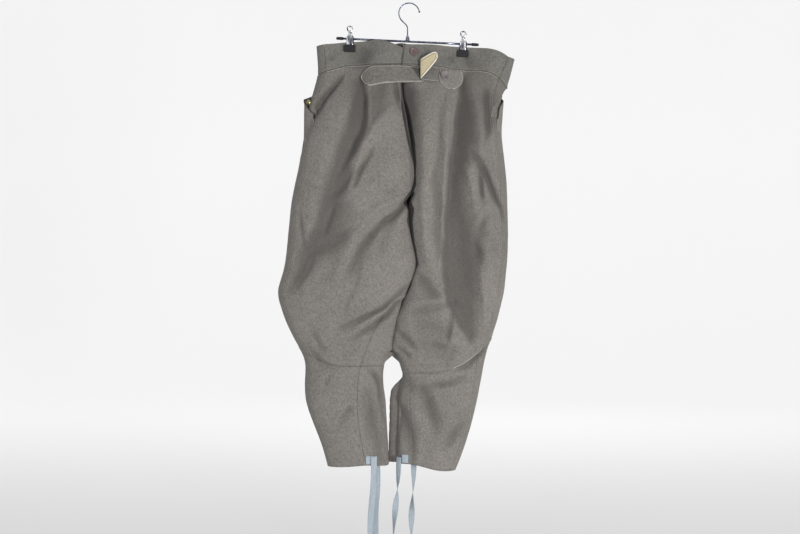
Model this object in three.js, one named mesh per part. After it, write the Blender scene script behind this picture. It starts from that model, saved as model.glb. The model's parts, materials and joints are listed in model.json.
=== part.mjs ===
// Wool uniform breeches hung by the waist from a clip hanger, back of the garment towards -Y.
// Millimetres, +Z up. The origin is the inside top of the hanger's hook, where it hangs on a peg.
//
// The cloth's form is written as two faces, near (-Y, the back of the garment) and far (+Y, its front).
// A face is a depth from the hanging plane at each place (x, height). Heights are nominal: a real height is
// the nominal one plus the sag of the waist or the slope of the hem at that x.
import * as THREE from "three";

// ---------------------------------------------------------------- driving sizes

const CLOTH = { wall: 2, band: 3, gap: 0.3 };
const WAIST = { top: -95, seam: -148, split: 3, slope: -0.046 };
const SAG = {
  left: { past: -132, reach: 78, top: 14, seam: 30, power: 1.2 },
  right: { past: 128, reach: 106, top: 22, seam: 46, power: 4 },
};
const CROTCH = -455;
const HEM = -1062;
const CLIPS = { left: -132, right: 128 };
const TAPE = { width: 14, wall: 0.9, end: -1262, rows: 16 };
const BUTTON = { large: 20, small: 15, rise: 3.4 };
const HOOK = { inner: 22, wire: 1.6, lean: 3.6, tail: 0.26, turn: 1.25, bend: 12, stem: -79 };
const BAR = { height: -87, radius: 2.5, length: 314, cap: 16, capRadius: 3.6 };

const GRID = { backColumns: 12, frontColumns: 13, bandRows: 3, ringSteps: 40, gather: 0.35 };
const EDGE_SQUARE = 2.3; // the superellipse power of a side edge: 2 is an ellipse, more is squarer
const CREST = 0.5; // where a leg is deepest, as a share of the way from its outer edge to its inner one

// ---------------------------------------------------------------- tables of the garment's form

// Each leg by height: where its outer edge is, and how far the two faces stand from the hanging plane.
const LEFT = [
  { z: -95, outer: -211, near: 24, far: 22 },
  { z: -148, outer: -207, near: 30, far: 25 },
  { z: -180, outer: -216, near: 36, far: 28 },
  { z: -220, outer: -227, near: 43, far: 31 },
  { z: -260, outer: -234, near: 49, far: 35 },
  { z: -300, outer: -240, near: 54, far: 38 },
  { z: -350, outer: -246, near: 58, far: 41 },
  { z: -400, outer: -256, near: 61, far: 43 },
  { z: -455, outer: -268, near: 61, far: 44 },
  { z: -500, outer: -273, near: 58, far: 44 },
  { z: -550, outer: -277, near: 57, far: 44 },
  { z: -600, outer: -283, near: 57, far: 44 },
  { z: -640, outer: -295, near: 55, far: 43 },
  { z: -665, outer: -300, near: 54, far: 42 },
  { z: -700, outer: -292, near: 52, far: 41 },
  { z: -750, outer: -272, near: 48, far: 39 },
  { z: -790, outer: -250, near: 44, far: 36 },
  { z: -820, outer: -235, near: 39, far: 33 },
  { z: -860, outer: -238, near: 38, far: 31 },
  { z: -910, outer: -237, near: 37, far: 30 },
  { z: -960, outer: -220, near: 34, far: 28 },
  { z: -1010, outer: -199, near: 30, far: 26 },
  { z: -1062, outer: -185, near: 27, far: 24 },
];
const RIGHT = [
  { z: -95, outer: 250, near: 23, far: 22 },
  { z: -148, outer: 229, near: 29, far: 25 },
  { z: -180, outer: 218, near: 35, far: 28 },
  { z: -220, outer: 214, near: 42, far: 31 },
  { z: -260, outer: 215, near: 47, far: 35 },
  { z: -300, outer: 217, near: 51, far: 38 },
  { z: -350, outer: 222, near: 54, far: 41 },
  { z: -400, outer: 227, near: 56, far: 42 },
  { z: -455, outer: 229, near: 56, far: 43 },
  { z: -500, outer: 231, near: 55, far: 43 },
  { z: -550, outer: 232, near: 54, far: 43 },
  { z: -600, outer: 229, near: 54, far: 42 },
  { z: -640, outer: 225, near: 53, far: 41 },
  { z: -665, outer: 222, near: 52, far: 40 },
  { z: -700, outer: 214, near: 50, far: 39 },
  { z: -750, outer: 200, near: 47, far: 37 },
  { z: -790, outer: 186, near: 43, far: 35 },
  { z: -820, outer: 177, near: 39, far: 32 },
  { z: -860, outer: 171, near: 37, far: 30 },
  { z: -910, outer: 162, near: 36, far: 29 },
  { z: -960, outer: 150, near: 34, far: 28 },
  { z: -1010, outer: 134, near: 30, far: 26 },
  { z: -1062, outer: 112, near: 27, far: 24 },
];

// The line between the legs: its place, half the gap between them, how deep the seat seam and the front
// seam lie from the hanging plane, and how square each leg is towards the other.
const MIDDLE = [
  { z: -95, x: -9, apart: 0, seat: 60, fly: 60, left: 2.4, right: 2.4 },
  { z: -148, x: -13, apart: 0, seat: 60, fly: 60, left: 2.6, right: 2.6 },
  { z: -185, x: -12, apart: 0, seat: 28, fly: 60, left: 3.4, right: 2.6 },
  { z: -222, x: -11, apart: 0, seat: 23, fly: 48, left: 4, right: 2.8 },
  { z: -250, x: -5, apart: 0, seat: 20, fly: 38, left: 4.4, right: 3 },
  { z: -300, x: 4, apart: 0, seat: 17, fly: 34, left: 4.4, right: 3.4 },
  { z: -345, x: 12, apart: 0, seat: 15, fly: 30, left: 4.4, right: 4 },
  { z: -390, x: 18.5, apart: 0, seat: 13, fly: 22, left: 4.4, right: 4.4 },
  { z: -425, x: 16, apart: 0, seat: 10, fly: 14, left: 4, right: 4.4 },
  { z: -455, x: 0, apart: 0.4, seat: 0, fly: 0, left: 4, right: 4 },
  { z: -475, x: 8, apart: 2.4, seat: 0, fly: 0, left: 4, right: 3.2 },
  { z: -502, x: 5, apart: 2, seat: 0, fly: 0, left: 4, right: 3 },
  { z: -545, x: 12, apart: 0.8, seat: 0, fly: 0, left: 4, right: 3 },
  { z: -575, x: 20, apart: 0.3, seat: 0, fly: 0, left: 3.8, right: 3.2 },
  { z: -600, x: 27, apart: 0.1, seat: 0, fly: 0, left: 3.6, right: 3.4 },
  { z: -625, x: 15, apart: 0.1, seat: 0, fly: 0, left: 3.2, right: 3.2 },
  { z: -655, x: 6, apart: 0.2, seat: 0, fly: 0, left: 3, right: 3 },
  { z: -695, x: -11, apart: 0.2, seat: 0, fly: 0, left: 2.8, right: 2.8 },
  { z: -740, x: -25.5, apart: 0.2, seat: 0, fly: 0, left: 2.6, right: 2.6 },
  { z: -785, x: -35, apart: 1, seat: 0, fly: 0, left: 2.5, right: 2.5 },
  { z: -820, x: -34.5, apart: 13, seat: 0, fly: 0, left: 2.4, right: 2.4 },
  { z: -860, x: -33, apart: 19.5, seat: 0, fly: 0, left: 2.4, right: 2.4 },
  { z: -885, x: -34.5, apart: 14.5, seat: 0, fly: 0, left: 2.4, right: 2.4 },
  { z: -950, x: -34.5, apart: 11, seat: 0, fly: 0, left: 2.4, right: 2.4 },
  { z: -1062, x: -33, apart: 7, seat: 0, fly: 0, left: 2.4, right: 2.4 },
];

// How far the side seams and the inseams lie in from a leg's edges, on the near face.
const SEAMS = [
  { z: -95, side: 20, left: 0, right: 0 },
  { z: -500, side: 18, left: 0, right: 0 },
  { z: -655, side: 17, left: 0, right: 0 },
  { z: -677, side: 17, left: 9, right: 0 },
  { z: -705, side: 17, left: 31, right: 0 },
  { z: -770, side: 18, left: 52, right: 1 },
  { z: -836, side: 19, left: 57, right: 14 },
  { z: -930, side: 18, left: 68, right: 28 },
  { z: -1038, side: 17, left: 58, right: 36 },
  { z: -1062, side: 17, left: 56, right: 36 },
];

// The knee seam, which joins a leg's upper and lower pieces: its height at the inseam, and how far it rises
// on the way round to the outer edge.
const KNEE = { left: { z: -831, rise: 38 }, right: { z: -847, rise: 76 }, atSide: 0.62, fade: 200, across: 110 };

// How tightly each clip presses the two faces together, by the distance below the waist's top edge: in full
// over a flat width to each side of the clip, then less and less over a fade.
const PINCH = [
  { z: 0, share: 0.9, flat: 25, fade: 46 },
  { z: -32, share: 0.89, flat: 24, fade: 46 },
  { z: -53, share: 0.76, flat: 12, fade: 50 },
  { z: -110, share: 0.42, flat: 4, fade: 56 },
  { z: -200, share: 0.16, flat: 0, fade: 66 },
  { z: -320, share: 0, flat: 0, fade: 70 },
];

// The largest folds, as troughs (depth below 0) and ridges on a face: a bowed line from one place to
// another, whose middle lies to the right of the straight line down by the bow. Widths are at its two ends.
const FOLDS = [
  { face: "near", x0: 138, z0: -160, x1: 156, z1: -770, bow: -40, width0: 20, width1: 44, depth: -24 },
  { face: "near", x0: 172, z0: -290, x1: 214, z1: -540, bow: -10, width0: 20, width1: 24, depth: -8 },
  { face: "near", x0: 184, z0: -772, x1: 58, z1: -872, bow: 14, width0: 22, width1: 22, depth: -9 },
  { face: "near", x0: 22, z0: -880, x1: 66, z1: -990, bow: 0, width0: 22, width1: 22, depth: -8 },
  { face: "near", x0: -124, z0: -310, x1: -202, z1: -540, bow: -10, width0: 22, width1: 30, depth: -11 },
  { face: "near", x0: 2, z0: -452, x1: -270, z1: -668, bow: 14, width0: 20, width1: 26, depth: -13 },
  { face: "near", x0: -8, z0: -668, x1: -190, z1: -770, bow: 12, width0: 20, width1: 24, depth: -9 },
  { face: "near", x0: -150, z0: -160, x1: -214, z1: -256, bow: 4, width0: 20, width1: 20, depth: -7 },
  { face: "near", x0: -226, z0: -806, x1: -60, z1: -842, bow: 6, width0: 22, width1: 22, depth: -8 },
  { face: "far", x0: -128, z0: -170, x1: -150, z1: -640, bow: 22, width0: 26, width1: 34, depth: -14 },
  { face: "far", x0: 120, z0: -190, x1: 96, z1: -580, bow: 18, width0: 26, width1: 32, depth: -12 },
  { face: "far", x0: 12, z0: -460, x1: 176, z1: -640, bow: -14, width0: 22, width1: 26, depth: -9 },
  { face: "far", x0: -12, z0: -470, x1: -210, z1: -700, bow: 16, width0: 22, width1: 26, depth: -9 },
  { face: "far", x0: -62, z0: -835, x1: -215, z1: -795, bow: 8, width0: 22, width1: 22, depth: -6 },
  { face: "far", x0: 0, z0: -845, x1: 158, z1: -800, bow: -8, width0: 22, width1: 22, depth: -6 },
];
// The legs press on each other along a slanting face: how far its near side lies left and its far side right.
const SLANT = { shift: 5, width: 70, top: -430, full: -480, low: -700, bottom: -790 };
const FOLD_STEPS = 12; // straight pieces that a bowed fold line is measured along
const LEAST_DEPTH = 2.7; // a face never comes nearer to the hanging plane than this, away from an edge

// ---------------------------------------------------------------- helpers

const mix = (a, b, share) => a + (b - a) * share;
const clamp01 = (value) => Math.min(1, Math.max(0, value));
const smooth = (value) => clamp01(value) ** 2 * (3 - 2 * clamp01(value));
const steps = (count) => Array.from({ length: count + 1 }, (_, i) => i / count);

/** A smooth function of height through one column of a table whose rows run downwards. */
function column(rows, name) {
  const slope = rows.map((row, i) => {
    const above = rows[Math.max(0, i - 1)];
    const below = rows[Math.min(rows.length - 1, i + 1)];
    return (below[name] - above[name]) / (below.z - above.z);
  });
  return (z) => {
    if (z >= rows[0].z) return rows[0][name];
    const i = rows.findIndex((row) => row.z <= z);
    if (i < 0) return rows[rows.length - 1][name];
    const [a, b] = [rows[i - 1], rows[i]];
    const span = b.z - a.z;
    const t = (z - a.z) / span;
    if (a[name] === b[name]) return a[name];
    return (
      a[name] * (2 * t ** 3 - 3 * t ** 2 + 1) +
      b[name] * (3 * t ** 2 - 2 * t ** 3) +
      slope[i - 1] * span * (t ** 3 - 2 * t ** 2 + t) +
      slope[i] * span * (t ** 3 - t ** 2)
    );
  };
}

const columnsOf = (rows) =>
  Object.fromEntries(Object.keys(rows[0]).map((name) => [name, column(rows, name)]));

const legs = {
  left: { name: "left", side: -1, ...columnsOf(LEFT) },
  right: { name: "right", side: 1, ...columnsOf(RIGHT) },
};
const middle = columnsOf(MIDDLE);
const seams = columnsOf(SEAMS);
const pinch = columnsOf(PINCH);

const mesh = (name, geometry, material) => {
  const made = new THREE.Mesh(geometry, material);
  made.name = name;
  return made;
};

// ---------------------------------------------------------------- the cloth's form

/** The bowed line of a fold as points on the face, highest first. */
function foldLine(fold) {
  const along = new THREE.Vector2(fold.x1 - fold.x0, fold.z1 - fold.z0);
  const across = new THREE.Vector2(-along.y, along.x).normalize();
  return steps(FOLD_STEPS).map((t) => {
    const bow = fold.bow * 4 * t * (1 - t);
    return new THREE.Vector2(
      fold.x0 + along.x * t + across.x * bow,
      fold.z0 + along.y * t + across.y * bow,
    );
  });
}

const foldLines = FOLDS.map((fold) => ({ ...fold, line: foldLine(fold) }));

/** What one fold adds to its face's depth at (x, z): full along its middle, nothing past its ends. */
function foldAt(fold, x, z) {
  let nearest = Infinity;
  let share = 0;
  for (let i = 0; i < FOLD_STEPS; i++) {
    const [a, b] = [fold.line[i], fold.line[i + 1]];
    const [dx, dz] = [b.x - a.x, b.y - a.y];
    const t = clamp01(((x - a.x) * dx + (z - a.y) * dz) / (dx * dx + dz * dz));
    const distance = Math.hypot(x - a.x - dx * t, z - a.y - dz * t);
    if (distance < nearest) {
      nearest = distance;
      share = (i + t) / FOLD_STEPS;
    }
  }
  const taper = smooth(share / 0.25) * smooth((1 - share) / 0.3);
  const width = mix(fold.width0, fold.width1, share);
  return fold.depth * taper * Math.exp(-((nearest / width) ** 2));
}

/** How deep the middle seam lies on a face, as a depth from the hanging plane. */
const seamDepth = (leg, face, z) =>
  Math.min(leg[face](z), face === "near" ? middle.seat(z) : middle.fly(z));

/** How far over the superellipse towards the middle a face reaches before it meets the other leg. */
function reachOf(leg, face, z) {
  const square = middle[leg.name](z);
  return (1 - (seamDepth(leg, face, z) / leg[face](z)) ** square) ** (1 / square);
}

/** A leg's edges at a nominal height: the outer one, the inner one, and its deepest place between. */
function spanOf(leg, z) {
  const lean = Math.max(reachOf(leg, "near", z), reachOf(leg, "far", z)) ** 2;
  const setBack = CLOTH.gap / 2 + middle.apart(z) + (CLOTH.wall / 2) * lean;
  const outer = leg.outer(z);
  const inner = middle.x(z) + leg.side * setBack;
  return { outer, inner, crest: mix(outer, inner, CREST) };
}

/** The plain depth of a face before clips and folds, from the superellipse of the leg's section. */
function plainDepth(leg, face, x, z) {
  const { outer, inner, crest } = spanOf(leg, z);
  const deep = leg[face](z);
  const towardsMiddle = (x - crest) * leg.side < 0;
  const end = towardsMiddle ? inner : outer;
  const square = towardsMiddle ? middle[leg.name](z) : EDGE_SQUARE;
  const share = clamp01((x - crest) / (end - crest)) * (towardsMiddle ? reachOf(leg, face, z) : 1);
  return deep * (1 - share ** square) ** (1 / square);
}

/** How much of its depth a face keeps at x between the clips that press it, 1 away from both. */
function keptAt(x, z) {
  const below = z - WAIST.top;
  return Object.values(CLIPS).reduce((kept, clip) => {
    const away = (Math.abs(x - clip) - pinch.flat(below)) / pinch.fade(below);
    return kept - pinch.share(below) * (1 - smooth(away));
  }, 1);
}

/** The depth of a face at (x, z): the plain form, pressed together at the clips, with the large folds. */
function depthAt(leg, face, x, z) {
  const plain = plainDepth(leg, face, x, z);
  const folded = foldLines.reduce((sum, f) => (f.face === face ? sum + foldAt(f, x, z) : sum), 0);
  const loose = smooth(plain / leg[face](z) / 0.8);
  const depth = plain * keptAt(x, z) + folded * loose;
  return Math.max(depth, Math.min(plain, LEAST_DEPTH));
}

/** The real height of a nominal one: the waist slopes with the hanger and sags past the clips. */
function heightAt(leg, face, x, z) {
  const { past, reach, top, seam, power } = SAG[leg.name];
  const beyond = clamp01(((x - past) * leg.side) / reach) ** power;
  const up = clamp01((z - WAIST.seam) / (WAIST.top - WAIST.seam));
  const bell = (at, width) => Math.exp(-(((x - at) / width) ** 2));
  const edge = leg.side < 0 ? 5 * bell(-73, 30) - 12 * bell(-9, 20) : -3 * bell(-9, 60);
  const seamRise = 5 * bell(15, 70) * (1 - up);
  const lean = WAIST.slope * x - mix(seam, top, up) * beyond;
  const fade = 1 - smooth((WAIST.seam - z) / 260);
  const hem = leg.side < 0 ? 4.5 * bell(-88, 40) : mix(7, -9, smooth(x / 85));
  const hemFade = smooth(1 - (z - HEM) / 120);
  return z + (lean + (face === "near" ? edge * up : 0) + seamRise) * fade + hem * hemFade;
}

const legAt = (x, z) => (x < middle.x(z) ? legs.left : legs.right);

/** A place on a face of a leg, slanted with its neighbour where the legs press on each other. */
function placeAt(leg, face, x, z) {
  const y = (face === "near" ? -1 : 1) * depthAt(leg, face, x, z);
  const pressed = smooth((SLANT.top - z) / (SLANT.top - SLANT.full));
  const parted = smooth((SLANT.low - z) / (SLANT.low - SLANT.bottom));
  const close = Math.exp(-(((x - middle.x(z)) / SLANT.width) ** 2)) * pressed * (1 - parted);
  const slanted = x + SLANT.shift * close * Math.tanh(y / 25);
  return new THREE.Vector3(slanted, y, heightAt(leg, face, x, z));
}

/** A place near a face at (x, nominal height). */
const nearFace = (face, x, z) => placeAt(legAt(x, z), face, x, z);

// ---------------------------------------------------------------- sections

/** Points of one face of a leg at a height, from the outer edge to the inner one. */
function faceSection(leg, face, z) {
  const { outer, inner, crest } = spanOf(leg, z);
  const square = middle[leg.name](z);
  const reach = reachOf(leg, face, z);
  const last = Math.asin(reach ** (square / 2));
  const outerHalf = steps(GRID.ringSteps).map((t) =>
    mix(crest, outer, Math.cos((t * Math.PI) / 2) ** (2 / EDGE_SQUARE)),
  );
  const innerHalf = steps(GRID.ringSteps)
    .slice(1)
    .map((t) => mix(crest, inner, reach > 0.01 ? Math.sin(last * t) ** (2 / square) / reach : t));
  return [...outerHalf, ...innerHalf].map((x) => placeAt(leg, face, x, z));
}

const lengthOf = (line) => line.slice(1).reduce((sum, p, i) => sum + p.distanceTo(line[i]), 0);

/** A place at a distance along a line, which may run on past either end in its own direction. */
function along(line, lengths, wanted) {
  const i = lengths.findIndex((length) => length >= wanted);
  const j = i < 0 ? line.length - 1 : Math.max(1, i);
  const span = Math.max(lengths[j] - lengths[j - 1], 1e-6);
  return line[j - 1].clone().lerp(line[j], (wanted - lengths[j - 1]) / span);
}

/** The running length at each point of a line. */
function lengthsOf(line) {
  const lengths = [0];
  line.slice(1).forEach((p, i) => lengths.push(lengths[i] + p.distanceTo(line[i])));
  return lengths;
}

/** Where a line that starts at an edge first lies `inset` in from that edge, as a distance along it. */
function insetAlong(line, inset) {
  const lengths = lengthsOf(line);
  const i = line.findIndex((p) => Math.abs(p.x - line[0].x) >= inset);
  if (i < 1) return 0;
  const [a, b] = [Math.abs(line[i - 1].x - line[0].x), Math.abs(line[i].x - line[0].x)];
  return mix(lengths[i - 1], lengths[i], (inset - a) / (b - a));
}

/**
 * A leg's whole section: from the middle across the near face, round the outer edge and back across the far
 * face. A closed one runs on past both ends, so that walls meeting at the inseam share its direction there.
 */
function ringOf(leg, z, closed) {
  const near = faceSection(leg, "near", z);
  const far = faceSection(leg, "far", z);
  const ring = [...near.slice(1).reverse(), ...far];
  const nearLength = lengthOf(near);
  const side = nearLength - insetAlong(near, seams.side(z));
  const whole = lengthOf(ring);
  const inset = Math.max(0, leg.side < 0 ? seams.left(z) : seams.right(z));
  const inseam = closed ? insetAlong([...near].reverse(), inset) : 0;
  const twice = closed ? [...ring, ...ring.slice(1)] : ring;
  return { line: twice, lengths: lengthsOf(twice), side, inseam, whole, nearLength };
}

/** The direction along a ring at a distance, the same for the two walls that meet there. */
const headingAt = ({ line, lengths }, at) =>
  along(line, lengths, at + 2).sub(along(line, lengths, at - 2)).normalize();

/** Half the gap at a seam, measured along the ring: wider where the seam runs aslant round the leg. */
function halfGap(leg, z, seam, closed) {
  const slant = (ringOf(leg, z - 3, closed)[seam] - ringOf(leg, z + 3, closed)[seam]) / 6;
  const sagging = z > WAIST.seam - CLOTH.gap ? 1.6 : 1;
  return (CLOTH.gap / 2) * Math.hypot(1, 1.8 * slant) * sagging;
}

/** How far a row is lifted at a share of the way across a panel, so that it runs along the knee seam. */
function kneeRise(leg, panel, share, z) {
  const near = clamp01(1 - Math.abs(z - KNEE[leg.name].z) / KNEE.fade);
  const back = KNEE.atSide * clamp01((share - 0.4) / 0.6) ** 2;
  const front = share < 0.1 ? mix(KNEE.atSide, 1, share / 0.1) : 1 - smooth((share - 0.1) / 0.65);
  return KNEE[leg.name].rise * near * (panel === "back" ? back : front);
}

// Where each panel starts and ends on a leg's ring: the back from the seat seam or the inseam to the side
// seam on the near face, the front from there round the outer edge and across the far face.
const PANELS = {
  back(leg, z, closed) {
    const ring = ringOf(leg, z, closed);
    const split = z > WAIST.seam - CLOTH.gap ? WAIST.split / 2 : 0;
    const start = closed ? ring.inseam + halfGap(leg, z, "inseam", true) : split;
    const before = closed ? headingAt(ring, start > 2 ? start : start + ring.whole) : null;
    const end = ring.side - halfGap(leg, z, "side", closed);
    return { ring, start, end, before, after: headingAt(ring, end) };
  },
  front(leg, z, closed) {
    const ring = ringOf(leg, z, closed);
    const start = ring.side + halfGap(leg, z, "side", closed);
    const end = ring.whole + (closed ? ring.inseam - halfGap(leg, z, "inseam", true) : 0);
    return { ring, start, end, before: headingAt(ring, start), after: closed ? headingAt(ring, end) : null };
  },
};

/** How far a row beside the knee seam stands from it: half the gap, and more where the seam runs aslant. */
function besideKnee(leg, panel, share) {
  const [a, b] = [-0.02, 0.02].map((step) => kneeRise(leg, panel, clamp01(share + step), KNEE[leg.name].z));
  return (CLOTH.gap / 2) * Math.hypot(1, (b - a) / (0.04 * KNEE.across));
}

/**
 * One row of a panel, its places closer together at the ends, with the wall's direction at each seam. A row
 * may stand beside the knee seam: 1 is just above it and -1 just below.
 */
function rowOf(leg, panel, z, closed, beside = 0) {
  const count = GRID[`${panel}Columns`];
  const shares = steps(count).map((t) => t - (GRID.gather * Math.sin(2 * Math.PI * t)) / (2 * Math.PI));
  const cuts = new Map();
  const cutAt = (height) => {
    if (!cuts.has(height)) cuts.set(height, PANELS[panel](leg, height, closed));
    return cuts.get(height);
  };
  const across = shares.map((share) => cutAt(z + kneeRise(leg, panel, share, z) + beside * besideKnee(leg, panel, share)));
  return {
    places: across.map(({ ring, start, end }, i) => along(ring.line, ring.lengths, mix(start, end, shares[i]))),
    before: across[0].before,
    after: across[count].after,
  };
}

// ---------------------------------------------------------------- cloth solids

/**
 * A closed wall from a grid of middle points, moved out by half its thickness on both sides. A row's own
 * direction at each end, when given, is the one that the wall has there, and so are the directions down
 * through the first and last rows.
 */
function wallGeometry(grid, thickness, befores = [], afters = [], { top, bottom } = {}) {
  const rows = grid.length;
  const columns = grid[0].length;
  const at = (r, c) => grid[Math.min(rows - 1, Math.max(0, r))][Math.min(columns - 1, Math.max(0, c))];
  const normal = (r, c) => {
    const edge = (r === 0 && top) || (r === rows - 1 && bottom);
    const down = edge ? edge[c] : at(r + 1, c).clone().sub(at(r - 1, c));
    const given = (c === 0 && befores[r]) || (c === columns - 1 && afters[r]);
    const across = given || at(r, c + 1).clone().sub(at(r, c - 1));
    return across.clone().cross(down).normalize();
  };
  const positions = [];
  for (const side of [0.5, -0.5]) {
    grid.forEach((row, r) =>
      row.forEach((p, c) => {
        const place = p.clone().addScaledVector(normal(r, c), side * thickness);
        positions.push(place.x, place.y, place.z);
      }),
    );
  }
  const index = [];
  const id = (side, r, c) => side * rows * columns + r * columns + c;
  const quad = (a, b, c, d) => index.push(a, b, c, a, c, d);
  for (let r = 0; r < rows - 1; r++) {
    for (let c = 0; c < columns - 1; c++) {
      quad(id(0, r, c), id(0, r, c + 1), id(0, r + 1, c + 1), id(0, r + 1, c));
      quad(id(1, r, c), id(1, r + 1, c), id(1, r + 1, c + 1), id(1, r, c + 1));
    }
    quad(id(0, r, 0), id(0, r + 1, 0), id(1, r + 1, 0), id(1, r, 0));
    const last = columns - 1;
    quad(id(0, r + 1, last), id(0, r, last), id(1, r, last), id(1, r + 1, last));
  }
  for (let c = 0; c < columns - 1; c++) {
    quad(id(0, 0, c + 1), id(0, 0, c), id(1, 0, c), id(1, 0, c + 1));
    const last = rows - 1;
    quad(id(0, last, c), id(0, last, c + 1), id(1, last, c + 1), id(1, last, c));
  }
  const geometry = new THREE.BufferGeometry();
  geometry.setAttribute("position", new THREE.Float32BufferAttribute(positions, 3));
  geometry.setIndex(index);
  if (volumeOf(geometry) < 0) {
    for (let i = 0; i < index.length; i += 3) {
      [index[i + 1], index[i + 2]] = [index[i + 2], index[i + 1]];
    }
    geometry.setIndex(index);
  }
  return geometry;
}

/** Six times the signed volume of a closed mesh: below 0 when its faces point inwards. */
function volumeOf(geometry) {
  const position = geometry.getAttribute("position");
  const corner = (i) => new THREE.Vector3().fromBufferAttribute(position, geometry.index.getX(i));
  let volume = 0;
  for (let i = 0; i < geometry.index.count; i += 3) {
    volume += corner(i).dot(corner(i + 1).cross(corner(i + 2)));
  }
  return volume;
}

// ---------------------------------------------------------------- materials

const finish = (color, roughness, metalness = 0) =>
  new THREE.MeshStandardMaterial({ color, roughness, metalness });

const MATERIALS = {
  wool: finish(0x726f68, 0.95),
  lining: finish(0xb8ad84, 0.9),
  tape: finish(0x9fb0b8, 0.9),
  horn: finish(0x5c4a48, 0.5),
  brass: finish(0x8a8450, 0.45, 0.8),
  steel: finish(0xc4c6cc, 0.22, 1),
  rubber: finish(0x26262a, 0.7),
};

// ---------------------------------------------------------------- panels

// Nominal heights of the panels' rows, closest together where the line between the legs turns.
const SEAT_HEIGHTS = [-149, -185, -222, -268, -318, -370, -418];
const THIGH_HEIGHTS = [CROTCH, -475, -502, -550, -600, -625, -650, -664, -677, -688, -702, -735, -770, -800];
const CALF_HEIGHTS = [-858, -890, -930, -975, -1020, HEM];

/** A wall from its rows of places. */
const wallFrom = (name, rows, thickness, edges) =>
  mesh(
    name,
    wallGeometry(
      rows.map((row) => row.places),
      thickness,
      rows.map((row) => row.before),
      rows.map((row) => row.after),
      edges,
    ),
    MATERIALS.wool,
  );

/** A leg's back or front: the upper piece from the waist to the knee seam, and the lower one to the hem. */
function legPieces(leg, panel) {
  const { z } = KNEE[leg.name];
  const closedRow = (height, beside) => rowOf(leg, panel, height, true, beside);
  const seat = SEAT_HEIGHTS.map((height) => rowOf(leg, panel, height, false));
  const [above, below] = [closedRow(z + 6), closedRow(z - 6)];
  const through = above.places.map((place, i) => below.places[i].clone().sub(place).normalize());
  return [
    wallFrom(
      `${panel}_${leg.name}`,
      [...seat, ...THIGH_HEIGHTS.map((height) => closedRow(height)), closedRow(z, 1)],
      CLOTH.wall,
      { bottom: through },
    ),
    wallFrom(
      `lower_${panel}_${leg.name}`,
      [closedRow(z, -1), ...CALF_HEIGHTS.map((height) => closedRow(height))],
      CLOTH.wall,
      { top: through },
    ),
  ];
}

/** A quarter of the waistband, from its seam up to its folded top edge. */
function waistbandPiece(leg, panel) {
  const rows = steps(GRID.bandRows).map((t) => rowOf(leg, panel, mix(WAIST.top, WAIST.seam, t), false));
  return wallFrom(`waistband_${panel}_${leg.name}`, rows, CLOTH.band);
}

const panels = Object.values(legs).flatMap((leg) =>
  Object.keys(PANELS).flatMap((panel) => [...legPieces(leg, panel), waistbandPiece(leg, panel)]),
);

// ---------------------------------------------------------------- what lies on the panels

const caster = new THREE.Raycaster();

/** The cloth's outer surface where a line through a place, coming in against `out`, first meets it. */
function castOn(place, out) {
  const nudges = [-1, 1].flatMap((dx) => [-1, 1].map((dz) => new THREE.Vector3(dx * Math.abs(out.y), 0, dz)));
  const reaches = nudges.map((nudge) => {
    caster.set(place.clone().add(nudge).addScaledVector(out, 90), out.clone().negate());
    const [hit] = caster.intersectObjects(panels, false);
    return hit ? 90 - hit.distance : -Infinity;
  });
  return place.clone().addScaledVector(out, Math.max(...reaches));
}

/** A place on a face's outer surface, lifted towards its own side. */
function landOn(face, place, lift) {
  const out = new THREE.Vector3(0, face === "near" ? -1 : 1, 0);
  return castOn(place, out).addScaledVector(out, lift);
}

// ---------------------------------------------------------------- the strap across the back

// Outlines are given as (x, nominal height) on the near face, moved out by a lift above the cloth.
const STRAP = { left: -98, right: 28, top: -141, bottom: -180, rise: 5.5, wall: 2.2 };
const BASES = {
  left: { tip: -108, inner: -78, top: -146, bottom: -186 },
  right: { x: 98, top: -150, bottom: -192, halfWidth: 27 },
};

/** A thin piece laid on a face: rows from top to bottom, each between two x places. */
function laidOn(name, rows, wall, material, count = 5, face = "near", lift = 0) {
  const clear = CLOTH.gap + 0.3 + wall / 2 + lift;
  const grid = rows.map(({ z, from, to }) =>
    steps(count).map((t) => landOn(face, nearFace(face, mix(from, to, t), z), clear)),
  );
  return mesh(name, wallGeometry(grid, wall), material);
}

/** The pointed patch at the strap's left end. */
function strapBaseLeft() {
  const { tip, inner, top, bottom } = BASES.left;
  const rows = steps(6).map((t) => ({
    z: mix(top, bottom, t),
    from: mix(inner - 5, tip, Math.sin(Math.PI * mix(0.12, 0.88, t)) ** 0.8),
    to: inner,
  }));
  return laidOn("strap_base_left", rows, 1.8, MATERIALS.wool);
}

/** The shield-shaped patch that the button sits on. */
function strapBaseRight() {
  const { x, top, bottom, halfWidth } = BASES.right;
  const rows = steps(8).map((t) => {
    const half = halfWidth * (t < 0.35 ? mix(0.86, 1, t / 0.35) : Math.sqrt(1 - ((t - 0.35) / 0.68) ** 2));
    return { z: mix(top, bottom, t), from: x - half, to: x + half };
  });
  return laidOn("strap_base_right", rows, 1.8, MATERIALS.wool, 7);
}

/** The long strap, from the left patch across the split of the waistband. */
function strap() {
  const { left, right, top, bottom, rise, wall } = STRAP;
  const grid = steps(5).map((down) =>
    steps(16).map((t) => {
      const x = mix(left + 21, right, t);
      const dip = 3.5 * Math.cos(t * Math.PI);
      const z = mix(top - 2 + dip * 0.3 - 5 * t, bottom + 5 * smooth(t * 2.2), down);
      const place = landOn("near", nearFace("near", x, z), wall / 2 + 1);
      place.y = Math.min(place.y, -31) - rise * Math.sin(Math.PI * t) ** 2;
      return place;
    }),
  );
  return mesh("strap", wallGeometry(grid, wall), MATERIALS.wool);
}

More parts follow.
